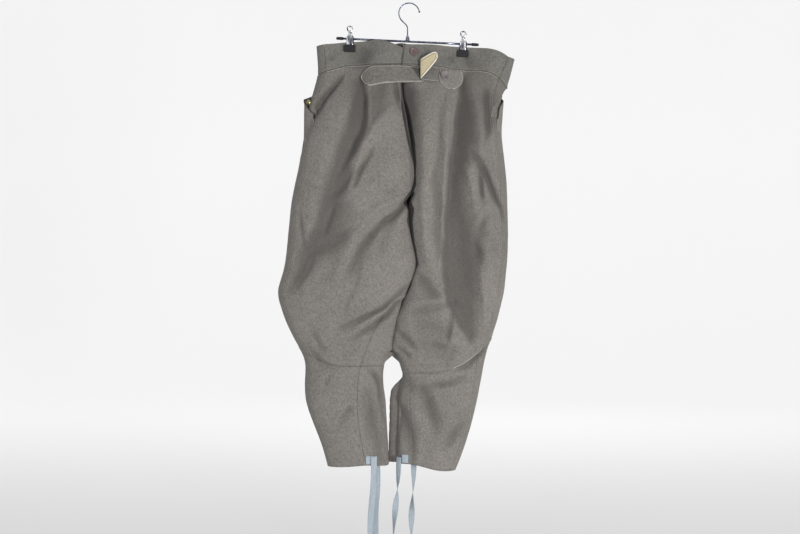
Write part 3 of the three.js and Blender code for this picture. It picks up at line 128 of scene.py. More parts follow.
# Creases by face and kind: "soft" ones are rounded, "pane" ones fold sharply and rise evenly on either side.
# Each is a line walked downwards: its places (x, z), then its height and its width to the left and to the
# right at each of them, in millimetres. A height below 0 is a trough. One height alone holds between the ends
# and fades out there. One width alone holds all along, and widths that are given once hold on both sides.
CREASES = {
    ("back", "soft"): [
        # the waistband
        ([(-102, -93), (-109, -111), (-113, -133), (-118, -160)], -4, [21, 23, 21, 18], [21, 21, 18, 18]),
        ([(-48, -93), (-50, -115), (-52, -142)], 2.5, [14, 16, 14]),
        ([(-161, -106), (-179, -124), (-197, -147)], -3, 7),
        ([(110, -111), (97, -127), (83, -147)], -3, 9),
        ([(131, -106), (135, -129), (140, -156), (142, -174)], [0, -4.5, -2, 0], 9, [12, 14, 14, 12]),
        # the split of the seat and the two darts
        ([(-16, -170), (-15, -201), (-12, -235), (-3, -278), (4, -325), (6, -375)],
         [-5.2, -8.7, -8.7, -6, -2.5, 0], [4.6, 4.6, 4.6, 4.6, 4, 4], [16.1, 16.1, 16.1, 14, 12, 10]),
        ([(-16, -183), (-13, -221), (-4, -273), (4, -325), (6, -364), (6, -420), (4, -461)],
         [-2.9, -4.8, -4.8, -3, -2, -2, 0], 3.4, [5.8, 5.8, 5.8, 5, 4, 4, 5.8]),
        ([(-84, -188), (-83, -224), (-82, -264)], [-0.7, -1.3, 0], 2.3, 2.8),
        ([(88, -192), (79, -246), (72, -301), (70, -346)], [-0.7, -1.3, -1.3, 0], 2.3, 2.8),
        # left leg, from the waist to the crotch
        ([(-145, -158), (-161, -179), (-184, -210), (-206, -242), (-222, -271), (-238, -310), (-249, -355)],
         [0, -6, -8, -9, -9, -6, 0], [5, 7, 9, 9, 9, 8, 8], [5, 6, 6, 7, 7, 7, 7]),
        ([(-21, -224), (-43, -246), (-71, -276), (-95, -312), (-116, -348), (-134, -382)],
         [0, 4, 6, 6, 5, 0], [5, 7, 7, 7, 6, 6], [11, 16, 18, 18, 14, 11]),
        ([(-73, -325), (-91, -353), (-109, -384), (-120, -414), (-129, -436)], [0, -4.5, -6, -5, 0], 5,
         [5, 7, 7, 7, 5]),
        ([(-93, -337), (-111, -364), (-125, -393), (-136, -427)], 3, 5),
        ([(-102, -373), (-134, -404), (-161, -432), (-188, -447)], -5, [9, 14, 16, 14], [7, 9, 9, 9]),
        ([(-30, -179), (-28, -210), (-23, -237), (-16, -260)], [-4, -7, -4, 0], [9, 9, 7, 5], 5),
        ([(-25, -382), (-48, -391), (-71, -409), (-89, -432)], [0, 2.5, 3, 0], 11, [11, 14, 14, 11]),
        ([(-55, -174), (-66, -212), (-75, -251), (-93, -292)], [-3, -5, -4.5, 0], [16, 20, 18, 14],
         [16, 18, 16, 14]),
        ([(-120, -192), (-118, -233), (-123, -282), (-138, -332), (-156, -373)], [0, -4, -4.5, -4, 0],
         [16, 18, 18, 18, 14], [16, 16, 16, 14, 14]),
        # left leg, the thigh
        ([(-3, -447), (-32, -456), (-66, -475), (-98, -502), (-125, -538), (-145, -576), (-161, -612),
         (-174, -651)], [0, 4.5, 6.5, 7.5, 7.5, 6.5, 4, 0], [7, 14, 16, 16, 14, 14, 14, 11],
         [7, 9, 9, 9, 10, 11, 11, 9]),
        ([(9, -441), (-12, -463), (-34, -486), (-59, -506), (-84, -529), (-109, -560), (-127, -594),
         (-150, -639)], [-6, -11, -11, -9, -7.5, -6, -4.5, 0], [4, 5, 5, 5, 5, 6, 7, 7],
         [5, 8, 9, 10, 11, 14, 16, 14]),
        ([(-25, -486), (-48, -517), (-64, -551), (-75, -594)], -3.5, 7, [7, 14, 14, 9]),
        ([(-95, -495), (-134, -522), (-165, -540), (-197, -554), (-220, -569), (-236, -594), (-251, -621),
         (-269, -651), (-287, -680)], [0, -3.4, -4.1, -4.1, -4.1, -3.8, -3.4, -2.6, 0],
         [5, 6, 6, 6, 7, 7, 7, 7, 5], [12, 18, 23, 23, 18, 16, 14, 12, 9]),
        ([(-211, -578), (-229, -610), (-247, -639), (-267, -671)], -2.1, 5, [5, 6, 6, 5]),
        ([(-254, -468), (-247, -508), (-242, -545), (-240, -576)], -3, 5),
        ([(-107, -583), (-116, -624), (-129, -662), (-145, -698), (-159, -732)], [0, -2.8, -2.8, -2.3, 0],
         5, [5, 7, 7, 7, 5]),
        ([(-21, -432), (-43, -436), (-66, -438)], -2.5, [7, 6, 5]),
        ([(-172, -454), (-177, -486), (-186, -513), (-197, -545)], -4, 7, 5),
        # left leg, round the knee
        ([(6, -642), (-19, -664), (-43, -685), (-73, -705), (-107, -721), (-143, -737), (-181, -755)],
         [0, -7, -7.5, -6.5, -6, -4, 0], [4, 5, 5, 5, 5, 5, 5], [5, 6, 8, 10, 12, 11, 7]),
        ([(-10, -671), (-32, -691), (-57, -716), (-86, -741), (-118, -761), (-150, -777)],
         [0, -5.5, -6, -5, -3.5, 0], [4, 4, 4, 5, 5, 5], [5, 6, 7, 8, 7, 5]),
        ([(-3, -651), (-30, -678), (-64, -707), (-98, -728), (-134, -748)], [0, 4, 4.5, 3.5, 0], 5,
         [5, 5, 5, 6, 6]),
        ([(-229, -730), (-215, -766), (-199, -789), (-186, -809)], -3, [7, 9, 9, 7], [9, 12, 9, 7]),
        ([(-240, -786), (-217, -807), (-190, -829), (-145, -838)], [0, -3.5, -3, 0], 7, [9, 9, 9, 7]),
        # left leg, below the knee
        ([(-172, -847), (-188, -865), (-206, -888)], -3, [5, 6, 5], 7),
        ([(-127, -911), (-143, -935), (-163, -967), (-174, -987)], [0, -4.5, -2, 0], [5, 6, 6, 5],
         [7, 9, 9, 7]),
        ([(-102, -834), (-77, -852), (-64, -884), (-57, -929), (-52, -969)], [0, -6, -6, -3.5, 0], 7),
        ([(-143, -906), (-134, -960), (-129, -1010), (-129, -1046)], 2.5, [14, 18, 18, 18]),
        # right leg, from the waist to the crotch
        ([(-5, -188), (-1, -210), (6, -242), (13, -282), (20, -323)], [0, -5.5, -5, -3, 0], 9,
         [16, 20, 18, 16, 11]),
        ([(72, -194), (72, -251), (70, -319), (63, -398), (63, -477), (65, -556), (72, -612)],
         [0, -2.7, -4.1, -4.7, -5.4, -4.7, 0], [5, 5, 7, 11, 13, 13, 11], [5, 7, 8, 11, 11, 11, 11]),
        ([(97, -194), (90, -262), (85, -341), (81, -432), (79, -511), (83, -578), (97, -639)],
         [0, 3.6, 4.2, 4.8, 4.8, 3.6, 0], 7, [5, 5, 5, 6, 6, 7, 7]),
        ([(135, -332), (155, -359), (169, -389), (183, -418), (198, -450), (212, -484), (216, -527)],
         [0, -7, -9, -8, -8, -5, 0], [7, 9, 9, 7, 7, 6, 5], [7, 7, 7, 6, 6, 5, 5]),
        ([(158, -382), (162, -409), (164, -436), (162, -468)], [0, -6.5, -6, 0], 5),
        ([(173, -183), (180, -224), (183, -269), (173, -319)], -3.5, [20, 23, 23, 18], [27, 27, 23, 18]),
        ([(173, -174), (178, -224), (180, -273), (176, -314), (160, -341)], [0, -3.9, -4.5, -3.2, 0],
         [8, 8, 8, 6, 5], [6, 8, 8, 6, 5]),
        ([(201, -282), (183, -310), (162, -337)], 3, 5),
        # right leg, the thigh
        ([(33, -197), (33, -273), (33, -364), (33, -454), (36, -533), (45, -594), (54, -635)],
         [0, 3.5, 5, 5.5, 5, 2.5, 0], [9, 12, 12, 12, 12, 12, 9], [12, 14, 14, 14, 14, 14, 12]),
        ([(176, -499), (162, -536), (155, -567), (158, -608)], -4.5, [11, 14, 14, 11], [11, 16, 16, 11]),
        ([(119, -359), (133, -395), (144, -441), (151, -486), (153, -522)], [0, 5, 5, 4, 0],
         [7, 8, 9, 9, 7], [7, 11, 11, 11, 9]),
        ([(185, -447), (171, -472), (158, -493), (144, -515)], 3.5, 7),
        ([(183, -484), (164, -508), (149, -538)], -4, 7),
        ([(151, -522), (167, -560), (171, -585), (162, -617), (167, -662), (171, -707), (164, -761)],
         [0, 3.5, 3.5, 3.5, 4, 3.5, 0], [9, 9, 7, 7, 7, 7, 7], [9, 14, 14, 16, 18, 16, 12]),
        ([(13, -608), (29, -639), (51, -664), (83, -678)], [0, -6.1, -6.8, 0], [10, 13, 15, 13],
         [10, 15, 15, 13]),
        ([(40, -590), (65, -626), (90, -664)], 2.5, 7),
        ([(-16, -689), (20, -682), (56, -685), (92, -676)], 3.5, [7, 9, 9, 7], 7),
        ([(-12, -710), (24, -705), (65, -696), (97, -687), (115, -687)], [0, -3.6, -4.2, -3, 0],
         [7, 9, 9, 9, 7], [9, 12, 12, 9, 7]),
        # right leg, round the knee
        ([(-3, -721), (33, -734), (74, -748), (106, -775)], -3.5, [20, 23, 23, 20]),
        ([(6, -761), (36, -782), (72, -795), (106, -811)], [0, -2.2, -2.6, 0], [18, 20, 20, 18]),
        ([(103, -687), (97, -721), (90, -757), (79, -793)], -4.2, [5, 6, 6, 5]),
        ([(-30, -739), (-14, -761), (4, -780), (24, -800)], -4.8, [5, 6, 6, 5], [5, 8, 8, 5]),
        ([(-28, -775), (-12, -798), (6, -825)], -4, [5, 7, 5], 7),
        ([(38, -777), (70, -786), (101, -793)], -3, 7),
        ([(110, -775), (94, -809), (74, -847)], -3, [7, 9, 7]),
        ([(180, -766), (162, -789), (142, -809), (119, -825), (92, -838)], [0, 5, 5, 4, 0], 5, 4),
        ([(185, -775), (167, -798), (146, -818), (121, -834), (92, -847)], [0, -5, -5, -4, 0], 4,
         [5, 7, 7, 7, 5]),
        # right leg, below the knee
        ([(142, -845), (110, -861), (76, -872), (38, -879), (11, -879)], [0, -4, -5, -3, 0], 7),
        ([(167, -897), (160, -933), (149, -969), (133, -1001)], -3.5, 7),
        ([(-25, -856), (-1, -879), (29, -895)], -4, [12, 14, 12]),
        ([(15, -865), (29, -893), (42, -922), (56, -954), (70, -992)], [0, -3.5, -4.8, -4, 0],
         [11, 11, 11, 11, 9], [11, 14, 16, 16, 11]),
        ([(-1, -902), (15, -938), (27, -969), (38, -1006)], 4, [12, 14, 14, 14], [14, 16, 16, 14]),
        ([(-28, -906), (-16, -947), (-5, -978), (4, -1010), (9, -1042)], [0, -5, -5.5, -4.5, -2],
         [12, 12, 14, 14, 12], [12, 16, 14, 12, 7]),
        ([(131, -947), (115, -976), (97, -999), (74, -1019)], -4.5, [9, 12, 12, 9], [7, 9, 9, 9]),
        ([(137, -911), (135, -951), (117, -992)], 3, 7),
    ],
    ("back", "pane"): [
        ([(-116, -156), (-107, -197), (-102, -240), (-109, -285), (-125, -325), (-145, -364), (-164, -395),
         (-180, -432), (-193, -472), (-208, -522), (-232, -567), (-254, -617), (-278, -667)],
         [0, -8, -12, -13, -13, -12, -9, -8, -9, -9, -7, -4, 0],
         [23, 32, 36, 39, 39, 36, 30, 25, 18, 18, 21, 23, 18],
         [9, 11, 11, 14, 16, 18, 32, 52, 90, 86, 58, 36, 23]),
        ([(-102, -861), (-93, -906), (-84, -951), (-73, -992), (-64, -1037)], [0, -4, -6, -6, -4],
         [18, 21, 23, 23, 21], [18, 28, 28, 23, 18]),
        ([(133, -147), (128, -170), (121, -201), (117, -233), (110, -273), (106, -314), (101, -346),
         (97, -377), (92, -423), (88, -472), (85, -527), (85, -572), (90, -630), (99, -680), (117, -721),
         (135, -757), (146, -789)],
         [0, -5, -9, -12, -15, -16, -15, -12, -12, -13, -14, -15, -16, -15, -12, -8, 0],
         [7, 7, 9, 9, 9, 9, 9, 11, 11, 11, 11, 14, 16, 18, 18, 14, 11],
         [11, 14, 23, 34, 48, 57, 52, 39, 34, 45, 68, 82, 77, 68, 50, 27, 11]),
    ],
    ("front", "soft"): [
        # left leg
        ([(-128, -158), (-140, -240), (-132, -330), (-146, -430), (-150, -520)], -12.6, 14, 23),
        ([(-96, -170), (-88, -260), (-92, -360), (-104, -450)], 6.2, 16, 14),
        ([(-168, -200), (-184, -270), (-206, -340), (-214, -410)], -7.3, 12, 14),
        ([(12, -455), (-30, -490), (-90, -530), (-150, -590), (-214, -640)], -9.5, 13, 18),
        ([(-20, -540), (-74, -585), (-130, -640), (-190, -690)], 4.4, 13),
        ([(-44, -700), (-100, -728), (-160, -742), (-214, -738)], -5.8, 13),
        ([(-70, -806), (-110, -816), (-160, -806), (-214, -780)], -5.7, 12, 13),
        ([(-120, -860), (-104, -920), (-88, -985)], -5.9, 13, 14),
        ([(-170, -870), (-164, -940), (-150, -1000)], 3.6, 13),
        # right leg
        ([(122, -168), (108, -250), (104, -360), (100, -470), (96, -560)], -11.9, 20, 14),
        ([(152, -190), (150, -290), (144, -400), (150, -500)], 6, 14),
        ([(66, -180), (60, -270), (52, -360), (54, -430)], -7.3, 13),
        ([(20, -462), (66, -500), (120, -560), (180, -620)], -7.7, 14, 16),
        ([(34, -600), (80, -650), (130, -690), (186, -716)], -5.9, 13, 14),
        ([(24, -700), (66, -742), (120, -760), (168, -752)], 4.4, 13),
        ([(6, -838), (50, -846), (110, -826), (160, -786)], -5.7, 12, 13),
        ([(120, -850), (96, -910), (72, -970), (60, -1010)], -7.4, 13, 14),
        ([(40, -880), (32, -950), (34, -1010)], 3.6, 13),
    ],
}


# ---------------------------------------------------------------- settings


def measure(name, description, default, **limits):
    """A length that a user may change."""
    return bpy.props.FloatProperty(
        name=name, description=description, default=default, unit="LENGTH", precision=5, **limits
    )


def colour(name, description, default):
    """A colour that a user may change."""
    return bpy.props.FloatVectorProperty(
        name=name, description=description, default=default, subtype="COLOR", size=3, min=0, max=1
    )


class BreechesCloth(bpy.types.PropertyGroup):
    """The wool cloth and its creases."""

    crease: bpy.props.FloatProperty(
        name="Crease Depth", description="Depth of the hand-placed creases, as a share of their own depths",
        default=1.45, min=0, max=2.0, subtype="FACTOR",
    )
    wrinkle: measure("Wrinkle", "Height of the cloth's small uneven wrinkles", 0.0011, min=0, max=0.004)
    seam_dip: measure("Seam Dip", "How far the cloth sinks along a seam", 0.00045, min=0, max=0.003)
    detail: bpy.props.IntProperty(
        name="Detail", description="Times that each panel's faces are divided", default=3, min=1, max=3
    )
    wool: colour("Wool", "Main colour of the wool", (0.152, 0.1415, 0.131))
    # painted shade: the colour that stands in for shade in the wool's creases, dips, split and slits
    wool_dark: colour("Wool in Creases", "Colour of the wool deep in its creases", (0.066, 0.061, 0.057))
    fleck: colour("Fleck", "Pale fibres in the wool", (0.37, 0.345, 0.32))
    lining: colour("Lining", "Cotton lining of the strap's tongue", (0.45, 0.40, 0.265))
    tape: colour("Tape", "Cotton of the tie tapes", (0.315, 0.365, 0.41))


class BreechesStitching(bpy.types.PropertyGroup):
    """The sewing thread."""

    length: measure("Stitch Length", "Length of thread that shows in a stitch", 0.0024, min=0.001, max=0.006)
    pitch: measure("Pitch", "Distance from one stitch to the next", 0.0035, min=0.0015, max=0.01)
    thick: measure("Thread", "Thickness of the thread", 0.00062, min=0.0002, max=0.002)
    pale: colour("Pale Thread", "Thread of the strap and the knee seams", (0.60, 0.575, 0.50))
    brown: colour("Brown Thread", "Thread of the lining and the darts", (0.16, 0.10, 0.07))
    grey: colour("Grey Thread", "Thread of the other seams", (0.27, 0.255, 0.225))


class BreechesFittings(bpy.types.PropertyGroup):
    """Buttons and hanger."""

    horn: colour("Horn", "Purple-brown buttons", (0.094, 0.058, 0.055))
    worn_horn: colour("Worn Horn", "Faded button of the strap", (0.118, 0.100, 0.102))
    brass: colour("Brass", "Tarnished pocket buttons", (0.30, 0.29, 0.12))
    steel: colour("Steel", "Chromed clips and wire", (0.66, 0.67, 0.70))
    rubber: colour("Rubber", "Clip pads and caps", (0.012, 0.012, 0.014))
    pad_rib: measure("Pad Rib", "Height of the ribs across a clip's pad", 0.0004, min=0, max=0.002)


class BreechesStage(bpy.types.PropertyGroup):
    """Camera, light and floor."""

    distance: measure("Distance", "Camera's distance from the hanger", 2.556, min=0.5, max=10)
    height: measure("Height", "Camera's height against the hook", -0.6056, min=-3, max=3)
    aside: measure("Aside", "Camera's place to the side of the hook", -0.0209, min=-1, max=1)
    lens: bpy.props.FloatProperty(
        name="Lens", description="Focal length of the camera in millimetres", default=50, min=10, max=200
    )
    key: bpy.props.FloatProperty(
        name="Key Light", description="Power of the light from the right", default=74, min=0, unit="POWER"
    )
    fill: bpy.props.FloatProperty(
        name="Fill Light", description="Power of the light from the left", default=15, min=0, unit="POWER"
    )
    glow: bpy.props.FloatProperty(
        name="Cove Glow", description="How bright the studio cove is in front of the breeches", default=0.43,
        min=0, max=1,
    )
    floor: colour("Floor", "Colour of the floor and the wall behind", (0.86, 0.86, 0.87))


GROUPS = {
    "breeches_cloth": BreechesCloth,
    "breeches_stitching": BreechesStitching,
    "breeches_fittings": BreechesFittings,
    "breeches_stage": BreechesStage,
}

# ---------------------------------------------------------------- finishes


def add_node(tree, kind, settings=None, inputs=None):
    """A node of a type, with its settings, and its inputs given as values or linked from other nodes."""
    made = tree.nodes.new(kind)
    for key, value in (settings or {}).items():
        setattr(made, key, value)
    for key, value in (inputs or {}).items():
        value = getattr(value, "socket", value)
        if isinstance(value, bpy.types.NodeSocket):
            tree.links.new(value, made.inputs[key])
        else:
            made.inputs[key].default_value = value
    return made


class Tone:
    """A shader value that adds and multiplies like a number."""

    def __init__(self, finish, socket):
        self.finish, self.socket = finish, socket

    def _worked(self, operation, a, b):
        return self.finish.tone("ShaderNodeMath", {"operation": operation}, {0: a, 1: b})

    def __add__(self, other):
        return self._worked("ADD", self, other)

    def __radd__(self, other):
        return self._worked("ADD", other, self)

    def __sub__(self, other):
        return self._worked("SUBTRACT", self, other)

    def __mul__(self, other):
        return self._worked("MULTIPLY", self, other)

    def ramp(self, low, high, start=0.0, end=1.0):
        """This value's place between low and high, kept between start and end."""
        return self.finish.tone(
            "ShaderNodeMapRange", {"clamp": True, "interpolation_type": "SMOOTHSTEP"},
            {0: self, 1: low, 2: high, 3: start, 4: end},
        )


class Finish:
    """A material, and the methods that make its nodes."""

    def __init__(self, name):
        self.material = bpy.data.materials.new(name)
        self.material.use_nodes = True
        self.tree = self.material.node_tree
        self.tree.nodes.clear()

    def tone(self, kind, settings=None, inputs=None, output=0):
        """One output of a new node, as a tone."""
        return Tone(self, add_node(self.tree, kind, settings, inputs).outputs[output])

    def place(self, scale=(1, 1, 1), turn=(0, 0, 0)):
        """Object coordinates, stretched and turned."""
        raw = self.tone("ShaderNodeTexCoord", output="Object")
        return self.tone("ShaderNodeMapping", None, {"Vector": raw, "Scale": scale, "Rotation": turn})

    def noise(self, place, scale, detail=2.0, rough=0.5):
        inputs = {"Vector": place, "Scale": scale, "Detail": detail, "Roughness": rough}
        return self.tone("ShaderNodeTexNoise", None, inputs)

    def threads(self, place, way, scale):
        """Even bands across X or Y, like the threads of a plain weave."""
        return self.tone(
            "ShaderNodeTexWave", {"bands_direction": way, "wave_profile": "SIN"},
            {"Vector": place, "Scale": scale, "Distortion": 0.6, "Detail": 2, "Detail Scale": 3},
        )

    def attribute(self, name):
        return self.tone("ShaderNodeAttribute", {"attribute_name": name}, output="Fac")

    def mix(self, factor, a, b):
        """Two colours mixed."""
        settings = {"data_type": "RGBA", "clamp_factor": True}
        return self.tone("ShaderNodeMix", settings, {0: factor, 6: a, 7: b}, output=2)

    def bump(self, height, distance, strength=1.0):
        inputs = {"Height": height, "Distance": distance, "Strength": strength}
        return self.tone("ShaderNodeBump", None, inputs, output="Normal")

    def done(self, **sockets):
        """Ends the tree in one surface shader and gives the material."""
        names = {key.replace("_", " ").title().replace("Ior", "IOR"): value for key, value in sockets.items()}
        shader = self.tone("ShaderNodeBsdfPrincipled", None, names)
        add_node(self.tree, "ShaderNodeOutputMaterial", None, {"Surface": shader})
        return self.material


def rgb(value, share=1.0):
    """A colour as four numbers, darkened or lightened by a share, or by one share for each of the three."""
    return tuple(np.minimum(1.0, np.array(value[:3]) * share)) + (1.0,)


def wool_finish(name, cloth, shade=(1, 1, 1)):
    """Heathered wool: pale and dark fibres, a soft nap, faint twill ribs, clouds of tone, pale worn edges,
    and painted shade in its creases, dips and gaps.
    """
    shade = np.array(shade)
    f = Finish(name)
    place = f.place()
    fibre = f.noise(place, 900, 3, 0.7)
    fleck = f.noise(place, 430, 4, 0.72)
    mottle = f.noise(place, 120, 4, 0.65)
    cloud = f.noise(place, 11, 3, 0.6)
    ribs = f.noise(f.place((1, 1, 0.22), (0, 0.7, 0)), 700, 2, 0.6)
    grain = f.noise(place, 260, 3, 0.65)
    tone = 0.5 + (fibre - 0.5) * 0.6 + (ribs - 0.5) * 0.5 + (grain - 0.5) * 1.1
    tone = tone + (mottle - 0.5) * 0.35 + (cloud - 0.5) * 0.3
    base = f.mix(tone.ramp(0.15, 0.85), rgb(cloth.wool, 0.72 * shade), rgb(cloth.wool, 1.30 * shade))
    pale = f.mix(fleck.ramp(0.58, 0.70, 0, 0.38), base, rgb(cloth.fleck, shade))
    dark = f.mix(fleck.ramp(0.42, 0.30, 0, 0.40), pale, rgb(cloth.wool, 0.42 * shade))
    # painted shade, by the hollow attribute: in creases and seam dips, below the waistband, down the right
    # hip, and where the fronts show behind the backs
    sunk = f.mix(f.attribute("hollow") * 0.66, dark, rgb(cloth.wool_dark, shade))
    worn = f.mix(f.attribute("rim"), sunk, rgb(cloth.fleck, 1.25))
    # painted shade, by the gap attribute: deep in the split between the legs, in the pocket slits and along
    # the strap's upper edge, and the tongue's painted shadow on the strap
    deep = f.mix(f.attribute("gap").ramp(0.36, 0.52, 0, 0.92), worn, rgb(cloth.wool_dark, 0.22))
    height = fibre * 0.5 + fleck * 0.6 + grain * 0.8 + mottle * 0.5 + ribs * 0.3
    return f.done(
        base_color=deep, roughness=mottle * 0.12 + 0.86, normal=f.bump(height, 0.00055, 0.8),
        sheen_weight=0.22, sheen_roughness=0.45, sheen_tint=(0.9, 0.88, 0.84, 1), specular_ior_level=0.12,
    )


def woven_finish(name, tint, depth, contrast, worn):
    """Plain woven cotton: crossing threads that follow the piece's own UV map, in metres of cloth."""
    f = Finish(name)
    cloth = f.tone("ShaderNodeUVMap", {"uv_map": "cloth"})
    cloth = f.tone("ShaderNodeMapping", None, {"Vector": cloth})
    bands = 144.69  # threads about 2.2 mm apart
    weave = f.threads(cloth, "X", bands) * f.threads(cloth, "Y", bands * 0.8)
    soil = f.noise(f.place(), 60, 4, 0.6)
    fuzz = f.noise(f.place(), 900, 2, 0.6)
    tone = weave * 0.5 + fuzz * 0.3 + soil * 0.35
    base = f.mix(tone.ramp(0.2, 0.95), rgb(tint, 1 - contrast), rgb(tint, 1 + contrast * 0.7))
    soiled = f.mix(soil.ramp(0.5, 0.75, 0, worn), base, rgb(tint, 0.6))
    lined = f.mix(f.attribute("line"), soiled, rgb((0.235, 0.165, 0.105)))
    aged = f.mix(f.attribute("rim"), lined, rgb((0.70, 0.655, 0.60)))
    return f.done(
        base_color=aged, roughness=0.88 + fuzz * 0.08, normal=f.bump(weave + fuzz * 0.4, depth, 0.7),
        specular_ior_level=0.2, sheen_weight=0.1,
    )


def thread_finish(name, tint):
    """Twisted cotton thread."""
    f = Finish(name)
    grain = f.noise(f.place(), 1500, 2, 0.6)
    base = f.mix(grain.ramp(0.3, 0.7), rgb(tint, 0.78), rgb(tint, 1.18))
    return f.done(
        base_color=base, roughness=0.75 + grain * 0.2, normal=f.bump(grain, 0.0001), specular_ior_level=0.3
    )


def horn_finish(name, tint):
    """Pressed horn: dark clouds and fine streaks under a worn gloss."""
    f = Finish(name)
    streak = f.noise(f.place((1, 1, 5)), 260, 4, 0.65)
    cloud = f.noise(f.place(), 130, 3, 0.6)
    base = f.mix(cloud.ramp(0.3, 0.7), rgb(tint, 0.6), rgb(tint, 1.7))
    grain = f.mix(streak.ramp(0.5, 0.68, 0, 0.5), base, rgb(tint, 2.4))
    return f.done(
        base_color=grain, roughness=0.34 + cloud * 0.3, normal=f.bump(streak, 0.00012), coat_weight=0.15,
        coat_roughness=0.3,
    )


def brass_finish(name, tint):
    """Tarnished brass, greener in its hollows."""
    f = Finish(name)
    tarnish = f.noise(f.place(), 420, 5, 0.7)
    scratch = f.noise(f.place((1, 1, 14), (0.4, 0.2, 0.3)), 500, 3, 0.6)
    base = f.mix(tarnish.ramp(0.35, 0.65), rgb(tint, 1.5), rgb((0.16, 0.19, 0.10)))
    return f.done(
        base_color=base, metallic=tarnish.ramp(0.7, 0.4, 0.35, 0.95), roughness=0.35 + tarnish * 0.35,
        normal=f.bump(scratch + tarnish, 0.00008),
    )


def steel_finish(name, tint, rough=0.16, dark=0.12):
    """Chromed steel: long dark and bright streaks painted in as reflections, faint rubbing marks and dull
    specks.
    """
    f = Finish(name)
    streak = f.noise(f.place((1, 1, 0.16)), 210, 2, 0.5)
    brush = f.noise(f.place((1, 1, 0.05)), 900, 3, 0.6)
    specks = f.noise(f.place(), 300, 5, 0.7)
    # painted reflections: long dark bluish and bright streaks in the base colour
    sheen = f.mix(streak.ramp(0.42, 0.56), rgb(tint, (dark, dark, dark * 1.35)), rgb(tint))
    base = f.mix(specks.ramp(0.60, 0.72, 0, 0.5), sheen, rgb(tint, 0.45))
    return f.done(
        base_color=base, metallic=1.0, roughness=rough + specks.ramp(0.5, 0.8) * 0.25 + brush * 0.06,
        normal=f.bump(brush, 0.00002),
    )


def rubber_finish(name, tint):
    """Moulded black rubber, dusty and slightly scuffed."""
    f = Finish(name)
    dust = f.noise(f.place(), 500, 5, 0.7)
    scuff = f.noise(f.place((1, 1, 4)), 200, 3, 0.6)
    base = f.mix(dust.ramp(0.5, 0.75, 0, 0.35), rgb(tint), rgb((0.10, 0.10, 0.10)))
    return f.done(
        base_color=base, roughness=0.45 + scuff * 0.3, normal=f.bump(dust + scuff, 0.00015),
        specular_ior_level=0.2,
    )


def cove_finish(name, tint, near, far):
    """Matt painted board that glows evenly, more so behind the breeches than before them."""
    f = Finish(name)
    place = f.place()
    depth = f.tone("ShaderNodeSeparateXYZ", None, {0: place}, output="Y")
    base = f.mix(f.noise(place, 3, 2, 0.5), rgb(tint, 0.30), rgb(tint, 0.31))
    light = f.mix(depth.ramp(-0.5, 2.6, near, far), rgb((0, 0, 0)), rgb((1, 1, 1)))
    return f.done(
        base_color=base, roughness=0.9, specular_ior_level=0.1, emission_color=light, emission_strength=1.0
    )


def finish(name):
    """The named material, made from the scene's settings the first time that it is asked for."""
    if name in bpy.data.materials:
        return bpy.data.materials[name]
    cloth, sewing, fittings, stage = (getattr(bpy.context.scene, group) for group in GROUPS)
    make, *values = {
        "wool melton": (wool_finish, cloth),
        "wool of the waistband": (wool_finish, cloth, (0.81, 0.845, 0.83)),
        "wool of small pieces": (wool_finish, cloth, (0.80, 0.82, 0.81)),
        "cotton lining": (woven_finish, cloth.lining, 0.00025, 0.22, 0.5),
        "cotton tape": (woven_finish, cloth.tape, 0.00022, 0.2, 0.4),
        "pale thread": (thread_finish, sewing.pale),
        "grey thread": (thread_finish, sewing.grey),
        "brown thread": (thread_finish, sewing.brown),
        "horn": (horn_finish, fittings.horn),
        "worn horn": (horn_finish, fittings.worn_horn),
        "brass": (brass_finish, fittings.brass),
        "chrome": (steel_finish, fittings.steel),
        "dull wire": (steel_finish, np.array(fittings.steel) * (0.34, 0.36, 0.44), 0.26, 0.3),
        "moulded rubber": (rubber_finish, fittings.rubber),
        "painted board": (cove_finish, stage.floor, stage.glow, 0.70),
    }[name]
    return make(name, *values)


# ---------------------------------------------------------------- mesh helpers

# Faces narrower than this are a node's cut edges, in millimetres, by how the node's name starts.
EDGE_WIDTHS = {"waistband": 3.6, "fly_flap": 2.2, "tape": 1.6, "clip_plate": 1.6, "": 3.0}


def values_of(items, name, kind=float, width=1):
    """One property of all of a mesh's items, a row each."""
    flat = np.empty(len(items) * width, dtype=kind)
    items.foreach_get(name, flat)
    return flat.reshape(-1, width)


def points_of(mesh):
    """A mesh's points in millimetres, a row each."""
    return values_of(mesh.vertices, "co", width=3) / MM


def set_points(mesh, points):
    mesh.vertices.foreach_set("co", (points * MM).ravel())
    mesh.update()


def give(mesh, name, values):
    """One number at each point, for a finish to read."""
    layer = mesh.attributes.new(name, "FLOAT", "POINT")
    layer.data.foreach_set("value", np.asarray(values, dtype=np.float32))


def cloth_uv(mesh, across, along):
    """A UV map in metres, from how far across and along its cloth each point lies, in millimetres."""
    loops = values_of(mesh.loops, "vertex_index", np.int32).ravel()
    pair = np.stack([across[loops], along[loops]], axis=1) * MM
    mesh.uv_layers.new(name="cloth").data.foreach_set("uv", pair.astype(np.float32).ravel())


def add_object(name, mesh):
    made = bpy.data.objects.new(name, mesh)
    bpy.context.scene.collection.objects.link(made)
    return made


def from_bmesh(bm, name):
    """A finished bmesh as a new object."""
    mesh = bpy.data.meshes.new(name)
    bm.to_mesh(mesh)
    bm.free()
    return add_object(name, mesh)


def applied(obj):
    """Turns an object's live modifiers into plain mesh and removes them."""
    bpy.context.view_layer.update()
    seen = obj.evaluated_get(bpy.context.evaluated_depsgraph_get())
    mesh = bpy.data.meshes.new_from_object(seen)
    obj.modifiers.clear()
    obj.data = mesh
    return obj


def divided(obj, levels):
    """Smooths an object by dividing its faces."""
    smoother = obj.modifiers.new("Divide", "SUBSURF")
    smoother.levels = smoother.render_levels = levels
    applied(obj)
    obj.data.shade_smooth()
    return obj


